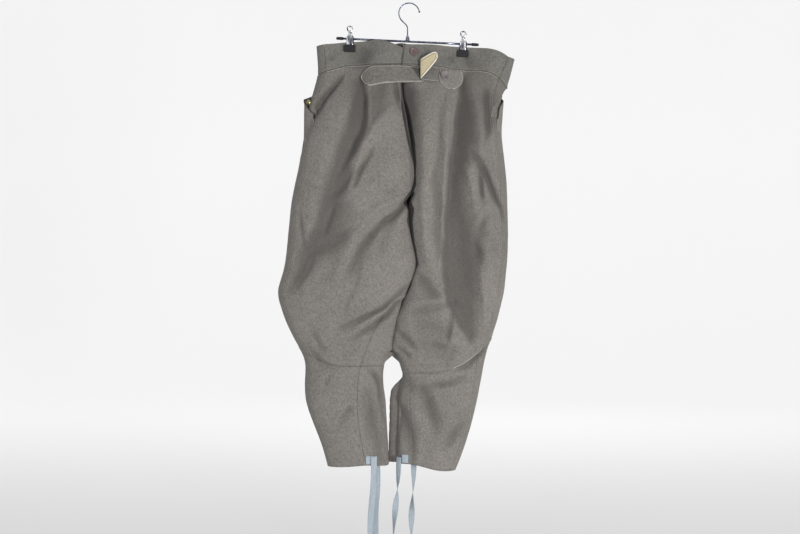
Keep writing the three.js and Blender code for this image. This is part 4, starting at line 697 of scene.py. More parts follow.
def opened(node):
    """A merged copy of a frame node with its four-sided faces back, and the faces of its cut edges."""
    thin = next(width for start, width in EDGE_WIDTHS.items() if node.startswith(start))
    bm = bmesh.new()
    bm.from_mesh(frame["nodes"][node].data)
    bmesh.ops.remove_doubles(bm, verts=bm.verts, dist=2e-5)
    bmesh.ops.join_triangles(
        bm, faces=bm.faces, angle_face_threshold=math.radians(60), angle_shape_threshold=math.radians(180)
    )
    bm.normal_update()
    return bm, {f for f in bm.faces if min(e.calc_length() for e in f.edges) < thin * MM}


def cad_copy(node, piece, sharp=1.0, bends=None):
    """A merged copy of a frame node as a new piece, its cut edges (or its bends past an angle) kept sharp."""
    bm, rim = opened(node)
    crease = bm.edges.layers.float.new("crease_edge")
    for edge in bm.edges:
        angle = math.degrees(edge.calc_face_angle(0))
        cut = sum(f in rim for f in edge.link_faces)
        if bends is not None:
            edge[crease] = 1.0 if angle > bends else 0.0
        elif cut == 1 or (cut == 2 and angle > 22):
            edge[crease] = sharp
    return from_bmesh(bm, piece)


def two_skins(bm, top, base):
    """Fills two facing grids of points with faces, and joins them along their borders.

    Gives the steps round the border, each as two (row, column) pairs.
    """
    rows, cols = len(top), len(top[0])
    for grid in (top, base):
        for i in range(rows - 1):
            for j in range(cols - 1):
                quad = [grid[i][j], grid[i + 1][j], grid[i + 1][j + 1], grid[i][j + 1]]
                bm.faces.new(quad if grid is top else quad[::-1])
    border = [(0, j) for j in range(cols - 1)] + [(i, cols - 1) for i in range(rows - 1)]
    border += [(rows - 1, j) for j in range(cols - 1, 0, -1)] + [(i, 0) for i in range(rows - 1, 0, -1)]
    steps = list(zip(border, border[1:] + border[:1]))
    for (i, j), (k, m) in steps:
        bm.faces.new([top[i][j], top[k][m], base[k][m], base[i][j]])
    bmesh.ops.recalc_face_normals(bm, faces=bm.faces)
    return steps


def hand_over(obj, material, slot, *nodes):
    """Gives a finished piece its material and body, and hides the frame nodes that it stands for. Its slot is
    not used.
    """
    obj.data.materials.clear()
    obj.data.materials.append(finish(material))
    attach(obj, "root")
    if nodes:
        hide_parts(*nodes)
    nodes and nodes[0] in CUTS


# ---------------------------------------------------------------- relief of the cloth


def smooth(t):
    t = np.clip(t, 0, 1)
    return t * t * (3 - 2 * t)


def ease(value, start, end):
    """0 up to the start and 1 from the end on, with a smooth rise between."""
    return smooth((value - start) / (end - start))


def unit(ways):
    """The same ways, each 1 long."""
    return ways / np.maximum(np.linalg.norm(ways, axis=-1, keepdims=True), 1e-9)


def distances(points, places):
    """How far each point lies from the nearest of the places."""
    tree = KDTree(len(places))
    for i, place in enumerate(places):
        tree.insert(place, i)
    tree.balance()
    return np.array([tree.find(point)[2] for point in points])


def soft_noise(points, size, seed):
    """Smooth random relief between about -1 and 1, with swells about `size` millimetres across."""
    slopes = unit(np.random.RandomState(seed).normal(size=(256, 3)))
    q = points / float(size)
    cell = np.floor(q).astype(np.int64)
    part = q - cell
    fade = part ** 3 * (part * (part * 6 - 15) + 10)
    total = np.zeros(len(points))
    for corner in range(8):
        step = np.array([corner & 1, corner >> 1 & 1, corner >> 2 & 1])
        at = cell + step
        key = (at[:, 0] * 73856093 ^ at[:, 1] * 19349663 ^ at[:, 2] * 83492791) & 0xFFFFFFFF
        key = ((key ^ key >> 13) * 1274126177 & 0xFFFFFFFF) >> 7 & 255
        weight = np.prod(np.where(step, fade, 1 - fade), axis=1)
        total += weight * np.einsum("ij,ij->i", slopes[key], part - step)
    return total * 1.7


def rounded_line(places, count=24):
    """A smooth line through the given places, as evenly numbered points."""
    p = np.array(places, dtype=float)
    p = np.vstack([2 * p[0] - p[1], p, 2 * p[-1] - p[-2]])
    out = []
    for s in np.linspace(0, len(places) - 1 - 1e-9, count):
        i = int(s)
        t = s - i
        a, b, c, d = p[i : i + 4]
        bend = (2 * a - 5 * b + 4 * c - d) * t * t + (3 * b - a - 3 * c + d) * t ** 3
        out.append(0.5 * (2 * b + (c - a) * t + bend))
    return np.array(out)


def from_line(line, x, z):
    """How far places (x, z) lie from a line, on which side of it and how far along.

    The side is above 0 on the right of someone who walks down the line, and how far along is from 0 to 1.
    """
    best = np.full(len(x), np.inf)
    side = np.zeros(len(x))
    share = np.zeros(len(x))
    for i, (start, way) in enumerate(zip(line, np.diff(line, axis=0))):
        ox, oz = x - start[0], z - start[1]
        t = np.clip((ox * way[0] + oz * way[1]) / (way @ way), 0, 1)
        away = np.hypot(ox - t * way[0], oz - t * way[1])
        nearer = away < best
        best = np.where(nearer, away, best)
        side = np.where(nearer, np.sign(oz * way[0] - ox * way[1]), side)
        share = np.where(nearer, (i + t) / (len(line) - 1), share)
    return best, side, share


def crease_relief(face, x, z):
    """The height of the listed creases at places on a face, in millimetres out of the cloth."""
    total = np.zeros(len(x))
    places = np.stack([x, np.full(len(x), -40.0 if face == "back" else 40.0), z], axis=1)
    x = x + soft_noise(places, 40, 51) * 3.5
    z = z + soft_noise(places, 40, 52) * 3.5
    folds = [(kind, *fold) for (where, kind), rows in CREASES.items() if where == face for fold in rows]
    for kind, knots, height, *widths in folds:
        count = len(knots)
        if not isinstance(height, list):
            height = [0] + [height] * (count - 2) + [0]
        height = np.array(height)
        left, right = (np.broadcast_to(width, count) for width in (widths * 2)[:2])
        line = rounded_line(knots)
        reach = 2.6 * max(left.max(), right.max())
        low, high = line.min(0) - reach, line.max(0) + reach
        near = np.nonzero((x > low[0]) & (x < high[0]) & (z > low[1]) & (z < high[1]))[0]
        if not len(near):
            continue
        away, side, share = from_line(line, x[near], z[near])
        at = share * (count - 1)
        numbers = np.arange(count)
        t = away / np.where(side > 0, np.interp(at, numbers, right), np.interp(at, numbers, left))
        if kind == "pane":
            t = np.sqrt(t * t + 0.006) - 0.077
            shape = (np.sqrt((1 - t) ** 2 + 0.01) + 1 - t) / 2
        else:
            shape = np.exp(-t * t)
        step = np.minimum(at.astype(int), count - 2)
        total[near] += (height[step] + (height[step + 1] - height[step]) * smooth(at - step)) * shape
    return total


def section_table():
    """The middle and half width by height of each leg, and of both together, from the frame's own panels."""
    heights = np.arange(-1060, -80, 20)
    table = {}
    for key, sides in (("left", ("left",)), ("right", ("right",)), ("both", LEGS)):
        p = np.vstack([points_of(frame["nodes"][node].data) for node, leg in PANELS if leg in sides])
        rows = []
        for z in heights:
            ring = p[np.abs(p[:, 2] - z) < 26]
            low, high = ring[:, 0].min(), ring[:, 0].max()
            rows.append(((low + high) / 2, (high - low) / 2))
        table[key] = (heights, *np.transpose(rows))
    return table


def gap_table():
    """By height: how far to the right the left half reaches, and how far to the left the right half does."""
    heights = np.arange(-829.9, -150, 5)
    reach = []
    for leg, pick in (("left", np.max), ("right", np.min)):
        ends = []
        for part in LEG_PARTS:
            mesh = frame["nodes"][f"{part}_{leg}"].data
            ends.append(points_of(mesh)[values_of(mesh.edges, "vertices", np.int32, 2)])
        a, b = np.vstack(ends).transpose(1, 0, 2)
        rows = []
        for z in heights:
            cut = (a[:, 2] - z) * (b[:, 2] - z) < 0
            share = (z - a[cut, 2]) / (b[cut, 2] - a[cut, 2])
            rows.append(pick(a[cut, 0] + (b[cut, 0] - a[cut, 0]) * share))
        reach.append(np.array(rows))
    return heights, *reach


SECTIONS = section_table()
HALF_DEPTH = 34.0  # of the legs' rounded sections, from front to back
DARKEST = 9.5  # depth of a crease at which its painted shade is deepest
GAP = gap_table()
# How far the painted shade reaches on either side of the split, as height and reach.
GAP_SHADE = [
    (-800, 2.6), (-762, 2.4), (-727, 1.3), (-681, 1.3), (-647, 3.0), (-624, 1.3), (-594, 2.0), (-566, 4.6),
    (-520, 6.5), (-486, 8.0), (-451, 9.0), (-428, 5.0), (-394, 2.0), (-359, 4.4), (-325, 7.6), (-267, 8.6),
    (-240, 7.2), (-215, 3.4), (-190, 3.2), (-170, 4.0),
]


def cloth_way(points, leg):
    """The way out of the cloth at each point, as from the long rounded section that it belongs to."""
    x, y, z = points.T
    ways = []
    for key in ("both", leg):
        heights, middles, halves = SECTIONS[key]
        across = (x - np.interp(z, heights, middles)) / np.interp(z, heights, halves) ** 2
        ways.append(unit(np.stack([across, y / HALF_DEPTH ** 2, np.zeros(len(x))], axis=1)))
    own = ease(z, CROTCH + 10, CROTCH - 50)[:, None]
    return unit(ways[0] * (1 - own) + ways[1] * own)


def wrinkles(points, leg):
    """Small uneven wrinkles that run slantwise from the crotch to the knee and die out on the waistband."""
    lean = 0.55 if leg == "left" else -0.35
    x, y, z = points.T
    warp = soft_noise(points, 90, 3) * 26
    across = (x * math.cos(lean) - z * math.sin(lean)) + warp
    along = (x * math.sin(lean) + z * math.cos(lean)) * 0.24
    runs = soft_noise(np.stack([across, y, along], axis=1), 34, 11 if leg == "left" else 17)
    swell = soft_noise(points, 120, 23)
    small = soft_noise(points, 17, 29)
    calm = 0.25 + 0.75 * ease(z, WAIST_SEAM + 40, WAIST_SEAM - 20)
    return (runs + swell * 1.3 + small * 0.32) * calm


def touching(points, leg):
    """How far to the right each inner flank leans, so that the legs touch, and how much shade is painted on
    it deep in the gap.

    The last value tells how much shade is painted where the front's edge hangs behind the back's.
    """
    heights, left, right = GAP
    x, y, z = points.T
    gap = np.interp(z, heights, right - left)
    inward, edges, drop, run = (1, left, 6, 75) if leg == "left" else (-1, right, 26, 42)
    away = (np.interp(z, heights, edges) - x) * inward
    apart = ease(z, CROTCH, CROTCH - 20)
    half = np.maximum(gap, 0) / 2
    reach = half + 0.8 + 1.4 * apart + 3.2 * ease(z, KNEE_SEAM + 116, KNEE_SEAM + 86)
    level = ease(z, KNEE_SEAM, KNEE_SEAM + 14) * ease(z, WAIST_SEAM + 15, WAIST_SEAM - 5)
    lean = level * ease(away, 14 + 31 * apart, 0) * reach
    # round and below the knees the fronts hang further in than the backs and show between them
    shown = ease(y, 1, 10) * ease(away, 46, 0)
    lean += shown * drop * ease(z, SHIN, SHIN - run)
    knee = ease(z, KNEE_SEAM - 26, KNEE_SEAM + 6) * ease(z, KNEE_SEAM + 36, KNEE_SEAM + 16)
    lean += shown * (half + 11) * knee
    shade = ease(z, KNEE_SEAM, KNEE_SEAM + 6) * ease(z, WAIST_SEAM, WAIST_SEAM - 8)
    shade *= 1 - ease(y, 2, 10) * ease(z, CROTCH - 55, CROTCH - 25)  # none on the front above the crotch
    # painted shade deep in the split between the legs
    deep = np.clip(1 - away / (2 * np.interp(z, *zip(*GAP_SHADE))), 0, 1) * shade
    return inward * lean, deep, shown * ease(z, SHIN, SHIN - 40)


def cloth_shift(points, leg, cloth):
    """How far each point of the cloth is moved by its creases and wrinkles."""
    way = cloth_way(points, leg)
    facing = ease(np.abs(way[:, 1]), 0.25, 0.65)
    back = points[:, 1] < 0
    relief = np.zeros(len(points))
    for face, chosen in (("back", back), ("front", ~back)):
        if chosen.any():
            relief[chosen] = crease_relief(face, points[chosen, 0], points[chosen, 2])
    relief *= facing * cloth.crease
    small = wrinkles(points, leg) * cloth.wrinkle / MM * (0.35 + 0.65 * facing)
    return way * (relief + small)[:, None]


def shaped(obj, leg, rims=()):
    """Lays creases, wrinkles and seam dips on a piece, and keeps painted shade for its finish: by how deep
    each point lies, below the waistband, down the right hip, in the split and where the fronts show behind
    the backs.
    """
    cloth = bpy.context.scene.breeches_cloth
    points = points_of(obj.data)
    x, y, z = points.T
    way = cloth_way(points, leg)
    shift = cloth_shift(points, leg, cloth)
    height = np.einsum("ij,ij->i", shift, way)
    lean, deep, behind = touching(points, leg)
    shift[:, 0] += lean
    if "waistband_front" in obj.name:  # its edge rises behind the dip in the back's, so that it shows there
        shift[:, 2] += 8 * np.exp(-(((x + 16) / 26) ** 2)) * ease(z, z.max() - 44, z.max() - 4)
    if len(rims):
        far = distances(points, rims)
        depth = cloth.seam_dip / MM * np.clip(0.75 + 0.8 * soft_noise(points, 60, 43), 0.15, 1.3)
        sunk = np.exp(-((far / 2.6) ** 2)) * depth
        pucker = soft_noise(points, 9, 41) * np.exp(-((far / 11) ** 2)) * 0.5
        shift += way * (pucker - sunk)[:, None]
        height -= sunk * 0.5
    set_points(obj.data, points + shift)
    under = 0.8 * behind
    if "waistband" not in obj.name:  # painted shade below the waistband and down the right hip
        under += 0.36 * ease(z, -340, -180) + 0.24 * ease(x, 130, 175) * ease(z, -640, -560) * (y < 0)
    give(obj.data, "hollow", np.clip(-height / DARKEST, 0, 1) + under)
    give(obj.data, "gap", deep)


def seam_rims(node):
    """The places of a frame node's cut edges that are sewn, in millimetres and close together."""
    hem = points_of(frame["nodes"][node].data)[:, 2]
    places = []
    bm, rim = opened(node)
    for edge in bm.edges:
        if sum(f in rim for f in edge.link_faces) != 1:
            continue
        a, b = (v.co / MM for v in edge.verts)
        if "lower" in node and max(a.z, b.z) < hem.min() + 4:
            continue
        if "waistband" in node and abs(a.x - b.x) > abs(a.z - b.z) and (a.z + b.z) / 2 > hem.mean():
            continue
        count = max(2, int((a - b).length / 2.5))
        places += [tuple(a.lerp(b, i / count)) for i in range(count + 1)]
    bm.free()
    return places


# ---------------------------------------------------------------- sewing lines

SHARP_CORNER = 48  # degrees that a panel's edge turns by at a corner, at least


def outer_rims(node, leg):
    """The outer skin's cut edge of a frame node, as sides between its corners.

    Each side is an array of places, and an array of the ways that lead in from them to the cloth.
    """
    bm, rim = opened(node)
    links, inside = {}, {}
    for edge in bm.edges:
        skins = [f for f in edge.link_faces if f not in rim]
        if len(skins) != 1 or len(edge.link_faces) != 2:
            continue
        centre = skins[0].calc_center_median()
        if Vector(cloth_way(np.array([centre]) / MM, leg)[0]).dot(skins[0].normal) < 0:
            continue
        a, b = edge.verts
        for one, other in ((a, b), (b, a)):
            links.setdefault(one.index, []).append(other.index)
            inside.setdefault(one.index, []).append(centre - (a.co + b.co) / 2)
    bm.verts.ensure_lookup_table()
    places = {i: np.array(bm.verts[i].co) / MM for i in links}
    inner = {i: np.array(sum(inside[i], Vector()).normalized()) for i in links}
    bm.free()
    loop, before = [min(links)], None
    while True:
        onward = [i for i in links[loop[-1]] if i != before]
        before = loop[-1]
        if not onward or onward[0] == loop[0]:
            break
        loop.append(onward[0])
    corners = []
    for k, i in enumerate(loop):
        come = places[i] - places[loop[k - 1]]
        go = places[loop[(k + 1) % len(loop)]] - places[i]
        cosine = np.clip(come @ go / np.linalg.norm(come) / np.linalg.norm(go), -1, 1)
        if math.degrees(math.acos(cosine)) > SHARP_CORNER:
            corners.append(k)
    sides = []
    for k, end in zip(corners, corners[1:] + corners[:1]):
        run = [loop[j % len(loop)] for j in range(k, end + (len(loop) if end <= k else 0) + 1)]
        sides.append((np.array([places[i] for i in run]), np.array([inner[i] for i in run])))
    return sides


def side_named(sides, name):
    """The side of a panel that lies highest, lowest, most to the left or most to the right."""
    run, rise = (0, 2) if name in ("top", "bottom") else (2, 0)
    spans = [np.abs(places[-1] - places[0]) for places, _ in sides]
    kept = [side for side, span in zip(sides, spans) if span[run] > span[rise] * 0.8] or sides
    kept = sorted(kept, key=lambda side: side[0][len(side[0]) // 2][rise])
    return kept[-1 if name in ("top", "right") else 0]


def even(places, step=4.0):
    """A line's places again, evenly spaced."""
    places = np.array(places)
    gaps = np.linalg.norm(np.diff(places, axis=0), axis=1)
    along = np.concatenate([[0], np.cumsum(gaps)])
    at = np.linspace(0, along[-1], max(2, int(along[-1] / step) + 1))
    return np.stack([np.interp(at, along, places[:, k]) for k in range(3)], axis=1)


class ClothSurface:
    """The finished cloth of some pieces, for laying stitches and small pieces on."""

    def __init__(self, pieces):
        verts, faces = [], []
        for obj in pieces:
            first = len(verts)
            verts += [v.co.copy() for v in obj.data.vertices]
            faces += [tuple(first + i for i in p.vertices) for p in obj.data.polygons]
        self.tree = BVHTree.FromPolygons(verts, faces)

    def met(self, start, way, far=200):
        """Where a straight line from a place first meets the cloth, or None where it doesn't."""
        hit = self.tree.ray_cast(Vector(np.multiply(start, MM)), Vector(way), far * MM)[0]
        return None if hit is None else np.array(hit) / MM

    def land(self, places, ways, lift=0.12):
        """Where a line coming in against each way first meets the cloth, a little above it."""
        out = []
        for place, way in zip(places, ways):
            hit = self.met(place + way * 24, -way, 60)
            if hit is None:
                hit = np.array(self.tree.find_nearest(Vector(place * MM))[0]) / MM
            out.append(hit + way * lift)
        return np.array(out)


@functools.cache
def cloth_surface():
    """The panels' finished cloth, read once."""
    return ClothSurface([bpy.data.objects[f"wool_{node}"] for node, _ in PANELS])


def stitch_tree():
    """A node tree that lays one stitch after another along every line of a mesh."""
    name = "Breeches Stitches"
    if name in bpy.data.node_groups:
        return bpy.data.node_groups[name]
    tree = bpy.data.node_groups.new(name, "GeometryNodeTree")
    face = tree.interface
    face.new_socket("Geometry", in_out="INPUT", socket_type="NodeSocketGeometry")
    for label in ("Pitch", "Length", "Thread"):
        made = face.new_socket(label, in_out="INPUT", socket_type="NodeSocketFloat")
        made.min_value = 0.0001
    face.new_socket("Seed", in_out="INPUT", socket_type="NodeSocketInt")
    face.new_socket("Thread Finish", in_out="INPUT", socket_type="NodeSocketMaterial")
    face.new_socket("Geometry", in_out="OUTPUT", socket_type="NodeSocketGeometry")

    def node(kind, settings, inputs, output=0):
        return add_node(tree, kind, settings, inputs).outputs[output]

    into = add_node(tree, "NodeGroupInput").outputs
    line = node("GeometryNodeMeshToCurve", None, {"Mesh": into["Geometry"]})
    line = node("GeometryNodeResampleCurve", {"mode": "LENGTH"}, {"Curve": line, "Length": into["Pitch"]})
    spots = add_node(tree, "GeometryNodeCurveToPoints", {"mode": "EVALUATED"}, {"Curve": line}).outputs
    ball = node("GeometryNodeMeshUVSphere", None, {"Segments": 6, "Rings": 4, "Radius": 0.5})
    size = node("ShaderNodeCombineXYZ", None, {"X": into["Thread"], "Y": into["Thread"], "Z": into["Length"]})
    uneven = {"Min": 0.86, "Max": 1.1, "Seed": into["Seed"]}
    vary = node("FunctionNodeRandomValue", {"data_type": "FLOAT"}, uneven, 1)
    size = node("ShaderNodeVectorMath", {"operation": "SCALE"}, {0: size, "Scale": vary})
    laid = {"Points": spots["Points"], "Instance": ball, "Rotation": spots["Rotation"], "Scale": size}
    laid = node("GeometryNodeInstanceOnPoints", None, laid)
    whole = node("GeometryNodeRealizeInstances", None, {"Geometry": laid})
    painted = node("GeometryNodeSetMaterial", None, {"Geometry": whole, "Material": into["Thread Finish"]})
    add_node(tree, "NodeGroupOutput", None, {0: painted})
    return tree


def stitched(name, lines, material, seed, stout=1.0):
    """Stitches along all the given lines, as one plain mesh."""
    sewing = bpy.context.scene.breeches_stitching
    verts, edges = [], []
    for line in lines:
        first = len(verts)
        verts += [tuple(p * MM) for p in line]
        edges += [(first + i, first + i + 1) for i in range(len(line) - 1)]
    mesh = bpy.data.meshes.new(name)
    mesh.from_pydata(verts, edges, [])
    obj = add_object(name, mesh)
    tree = stitch_tree()
    modifier = obj.modifiers.new("Stitches", "NODES")
    modifier.node_group = tree
    sizes = {"Pitch": sewing.pitch, "Length": sewing.length, "Thread": sewing.thick * stout, "Seed": seed,
             "Thread Finish": finish(material)}
    for socket in tree.interface.items_tree:
        if socket.in_out == "INPUT" and socket.name in sizes:
            modifier[socket.identifier] = sizes[socket.name]
    applied(obj)
    obj.data.shade_smooth()
    hand_over(obj, material, "lining")


# ---------------------------------------------------------------- small forms


def tube(name, places, radius, sides, taper=1.0):
    """A round wire along places in millimetres, closed at both ends, which a taper makes thinner."""
    places = np.array(places, dtype=float)
    last = len(places) - 1
    bm = bmesh.new()
    rings = []
    normal = None
    for i, place in enumerate(places):
        ahead = Vector(places[min(i + 1, last)] - places[max(i - 1, 0)]).normalized()
        if normal is None:
            normal = ahead.orthogonal().normalized()
        normal = (normal - ahead * normal.dot(ahead)).normalized()
        other = ahead.cross(normal)
        r = radius * (taper if i in (0, last) else 1)
        rings.append([
            bm.verts.new((Vector(place) + (normal * math.cos(t) + other * math.sin(t)) * r) * MM)
            for t in (2 * math.pi * k / sides for k in range(sides))
        ])
    for low, high in zip(rings, rings[1:]):
        for k in range(sides):
            bm.faces.new((low[k], low[(k + 1) % sides], high[(k + 1) % sides], high[k]))
    bm.faces.new(rings[0][::-1])
    bm.faces.new(rings[-1])
    bm.normal_update()
    obj = from_bmesh(bm, name)
    obj.data.shade_smooth()
    return obj


def button_frame(node):
    """A button's back centre, its way out, radius and height, from its frame node, in millimetres."""
    points = points_of(frame["nodes"][node].data)
    centre = (points.max(0) + points.min(0)) / 2
    out = np.linalg.svd(points - points.mean(0), full_matrices=False)[2][2]
    faces_depth = abs(out[1]) > 0.3
    if (faces_depth and (out[1] > 0) != (centre[1] > 0)) or (not faces_depth and out[0] * centre[0] < 0):
        out = -out
    reach = points @ out
    flat = points - np.outer(reach, out)
    middle = (flat.max(0) + flat.min(0)) / 2
    radius = np.linalg.norm(flat - middle, axis=1).max()
    return middle + out * reach.min(), out, radius, reach.max() - reach.min()


FACE = 0.62  # height of a button's face as a share of its rim's
EDGE = 0.9  # where a button's outer edge starts to round off, as a share of its radius
# A thread from one hole of a button to the next: share of the way, and height above the sunk face.
THREAD_PATH = [(0, -0.7), (0.1, 0.25), (0.5, 0.4), (0.9, 0.25), (1, -0.7)]


def turned_button(name, node, shift, holes, dish):
    """A round button with a rolled rim, a dished middle and sewing holes, and the paths of its threads."""
    foot, out, radius, rise = button_frame(node)
    foot = foot + shift
    across = unit(np.cross(out, [0, 0, 1]))
    up = np.cross(across, out)
    rim = 0.84  # where the rim is highest, as a share of the radius

    def height(a, b, r):
        """How high the front stands at shares of the radius across, up and away from the middle."""
        h = rise * (FACE + (1 - FACE) * math.exp(-(((r - rim) / 0.13) ** 2)) - dish * (1 - r * r) * (r < rim))
        h *= 1 - max(0.0, (r - EDGE) / (1 - EDGE)) ** 2 * 0.5
        h -= 0.05 * rise * math.sin(r * 30) * (0.4 < r < rim - 0.1)  # faint turning marks
        for x, y in holes:
            h -= 0.55 * rise * math.exp(-((math.hypot(a * radius - x, b * radius - y) / 1.05) ** 4))
        return h

    bm = bmesh.new()
    skins = []
    steps = [2 * i / 40 - 1 for i in range(41)]
    for top in (True, False):
        grid = []
        for u in steps:
            row = []
            for v in steps:
                r, t = max(abs(u), abs(v)), math.atan2(v, u)
                a, b = r * math.cos(t), r * math.sin(t)
                h = height(a, b, r) if top else 0.22 * rise * max(0.0, (r - EDGE) / (1 - EDGE))
                row.append(bm.verts.new((foot + (across * a + up * b) * radius + out * h) * MM))
            grid.append(row)
        skins.append(grid)
    two_skins(bm, *skins[::-1])
    obj = from_bmesh(bm, name)
    obj.data.shade_smooth()
    level = rise * (FACE - dish * 0.9)
    threads = []
    for pair in (holes[:2], holes[2:]) if holes else ():
        start, end = (foot + across * x + up * y for x, y in pair)
        threads.append([start + (end - start) * share + out * (level + h) for share, h in THREAD_PATH])
    return obj, threads


def slab(name, grid, wall):
    """A thin sheet of cloth from a grid of places on its middle, its cut edges kept crisp."""
    grid = np.array(grid, dtype=float)
    normal = unit(np.cross(np.gradient(grid, axis=0), np.gradient(grid, axis=1)))
    bm = bmesh.new()
    skins = [
        [[bm.verts.new(place) for place in row] for row in (grid + normal * side * wall / 2) * MM]
        for side in (1, -1)
    ]
    crease = bm.edges.layers.float.new("crease_edge")
    for (i, j), (k, m) in two_skins(bm, *skins):
        for skin in skins:
            bm.edges.get((skin[i][j], skin[k][m]))[crease] = 0.7
    return divided(from_bmesh(bm, name), 2)


def border_lines(grid, inset, sides):
    """Lines that run along a grid's top, bottom, left or right edge, a distance in from it."""
    grid = np.array(grid, dtype=float)
    picks = {
        "t": (grid[0], grid[2]), "b": (grid[-1], grid[-3]),
        "l": (grid[:, 0], grid[:, 2]), "r": (grid[:, -1], grid[:, -3]),
    }
    return [edge + unit(inner - edge) * inset for edge, inner in (picks[side] for side in sides)]


def back_skin(x, z, lift):
    """The place on the back's cloth at x and z, lifted towards the viewer's side."""
    hit = cloth_surface().met((x, -140, z), (0, 1, 0))
    return np.array([x, (-30 if hit is None else hit[1]) - lift, z])


def relaxed(grid, low, rounds=6):
    """A grid whose depth is smoothed, but never sinks further than `low` below the cloth that it lies on."""
    grid = np.array(grid)
    cloth = grid[..., 1].copy()
    y = cloth.copy()
    for _ in range(rounds):
        q = np.pad(y, 1, "edge")
        y = np.minimum((q[:-2, 1:-1] + q[2:, 1:-1] + q[1:-1, :-2] + q[1:-1, 2:] + 2 * y) / 6, cloth + low)
    grid[..., 1] = y
    return grid


# ---------------------------------------------------------------- operators

LINES = {}  # sewing lines of the small pieces, kept for the stitching


class MakePanels(bpy.types.Operator):
    """Make the legs and the waistband in creased wool"""

    bl_idname = "breeches.panels"
    bl_label = "Panels"

    def execute(self, context):
        for node, leg in PANELS:
            obj = divided(cad_copy(node, f"wool_{node}"), context.scene.breeches_cloth.detail)
            shaped(obj, leg, seam_rims(node))
            band = node.startswith("waistband")
            hand_over(obj, "wool of the waistband" if band else "wool melton", "wool", node)
        return {"FINISHED"}


# The strap by x: its upper and lower edge.
STRAP = [
    (-109.5, -171, -175.5), (-107.5, -166.5, -180.5), (-103.5, -161, -186.5), (-98, -155.5, -191.5),
    (-91.5, -150.2, -194.6), (-83, -147.6, -193.6), (-70, -147, -190.6), (-50, -146.8, -187.8),
    (-30, -147, -186.6), (-8, -147.8, -186.2), (12, -149, -186), (26, -150.2, -185.6), (36, -151, -185.4),
]
# The tongue up to its fold by x, lying flat: its upper and lower edge.
FLAT = [
    (66, -160, -184.6), (57, -160, -184.6), (48, -159, -184.4), (39, -157, -183.8), (31, -150, -182),
    (27, -142, -180.4),
]
# The tongue beyond its fold by x: its upper and lower edge, and how far the two stand out from the cloth.
TONGUE = [
    (25.5, -135.5, -180, 0.0), (30, -132.5, -175.5, 3.0), (37, -128.6, -168, 5.0), (44, -124.6, -160, 6.5),
    (51, -121, -152, 7.5), (57, -119.4, -144.6, 8.4), (61, -120.8, -139.4, 9.0), (63.5, -125.4, -134, 9.2),
]
# The patch that the strap's button sits on: its middle, half width, top and bottom.
PATCH = (95.5, 28.8, -156.5, -200.5)


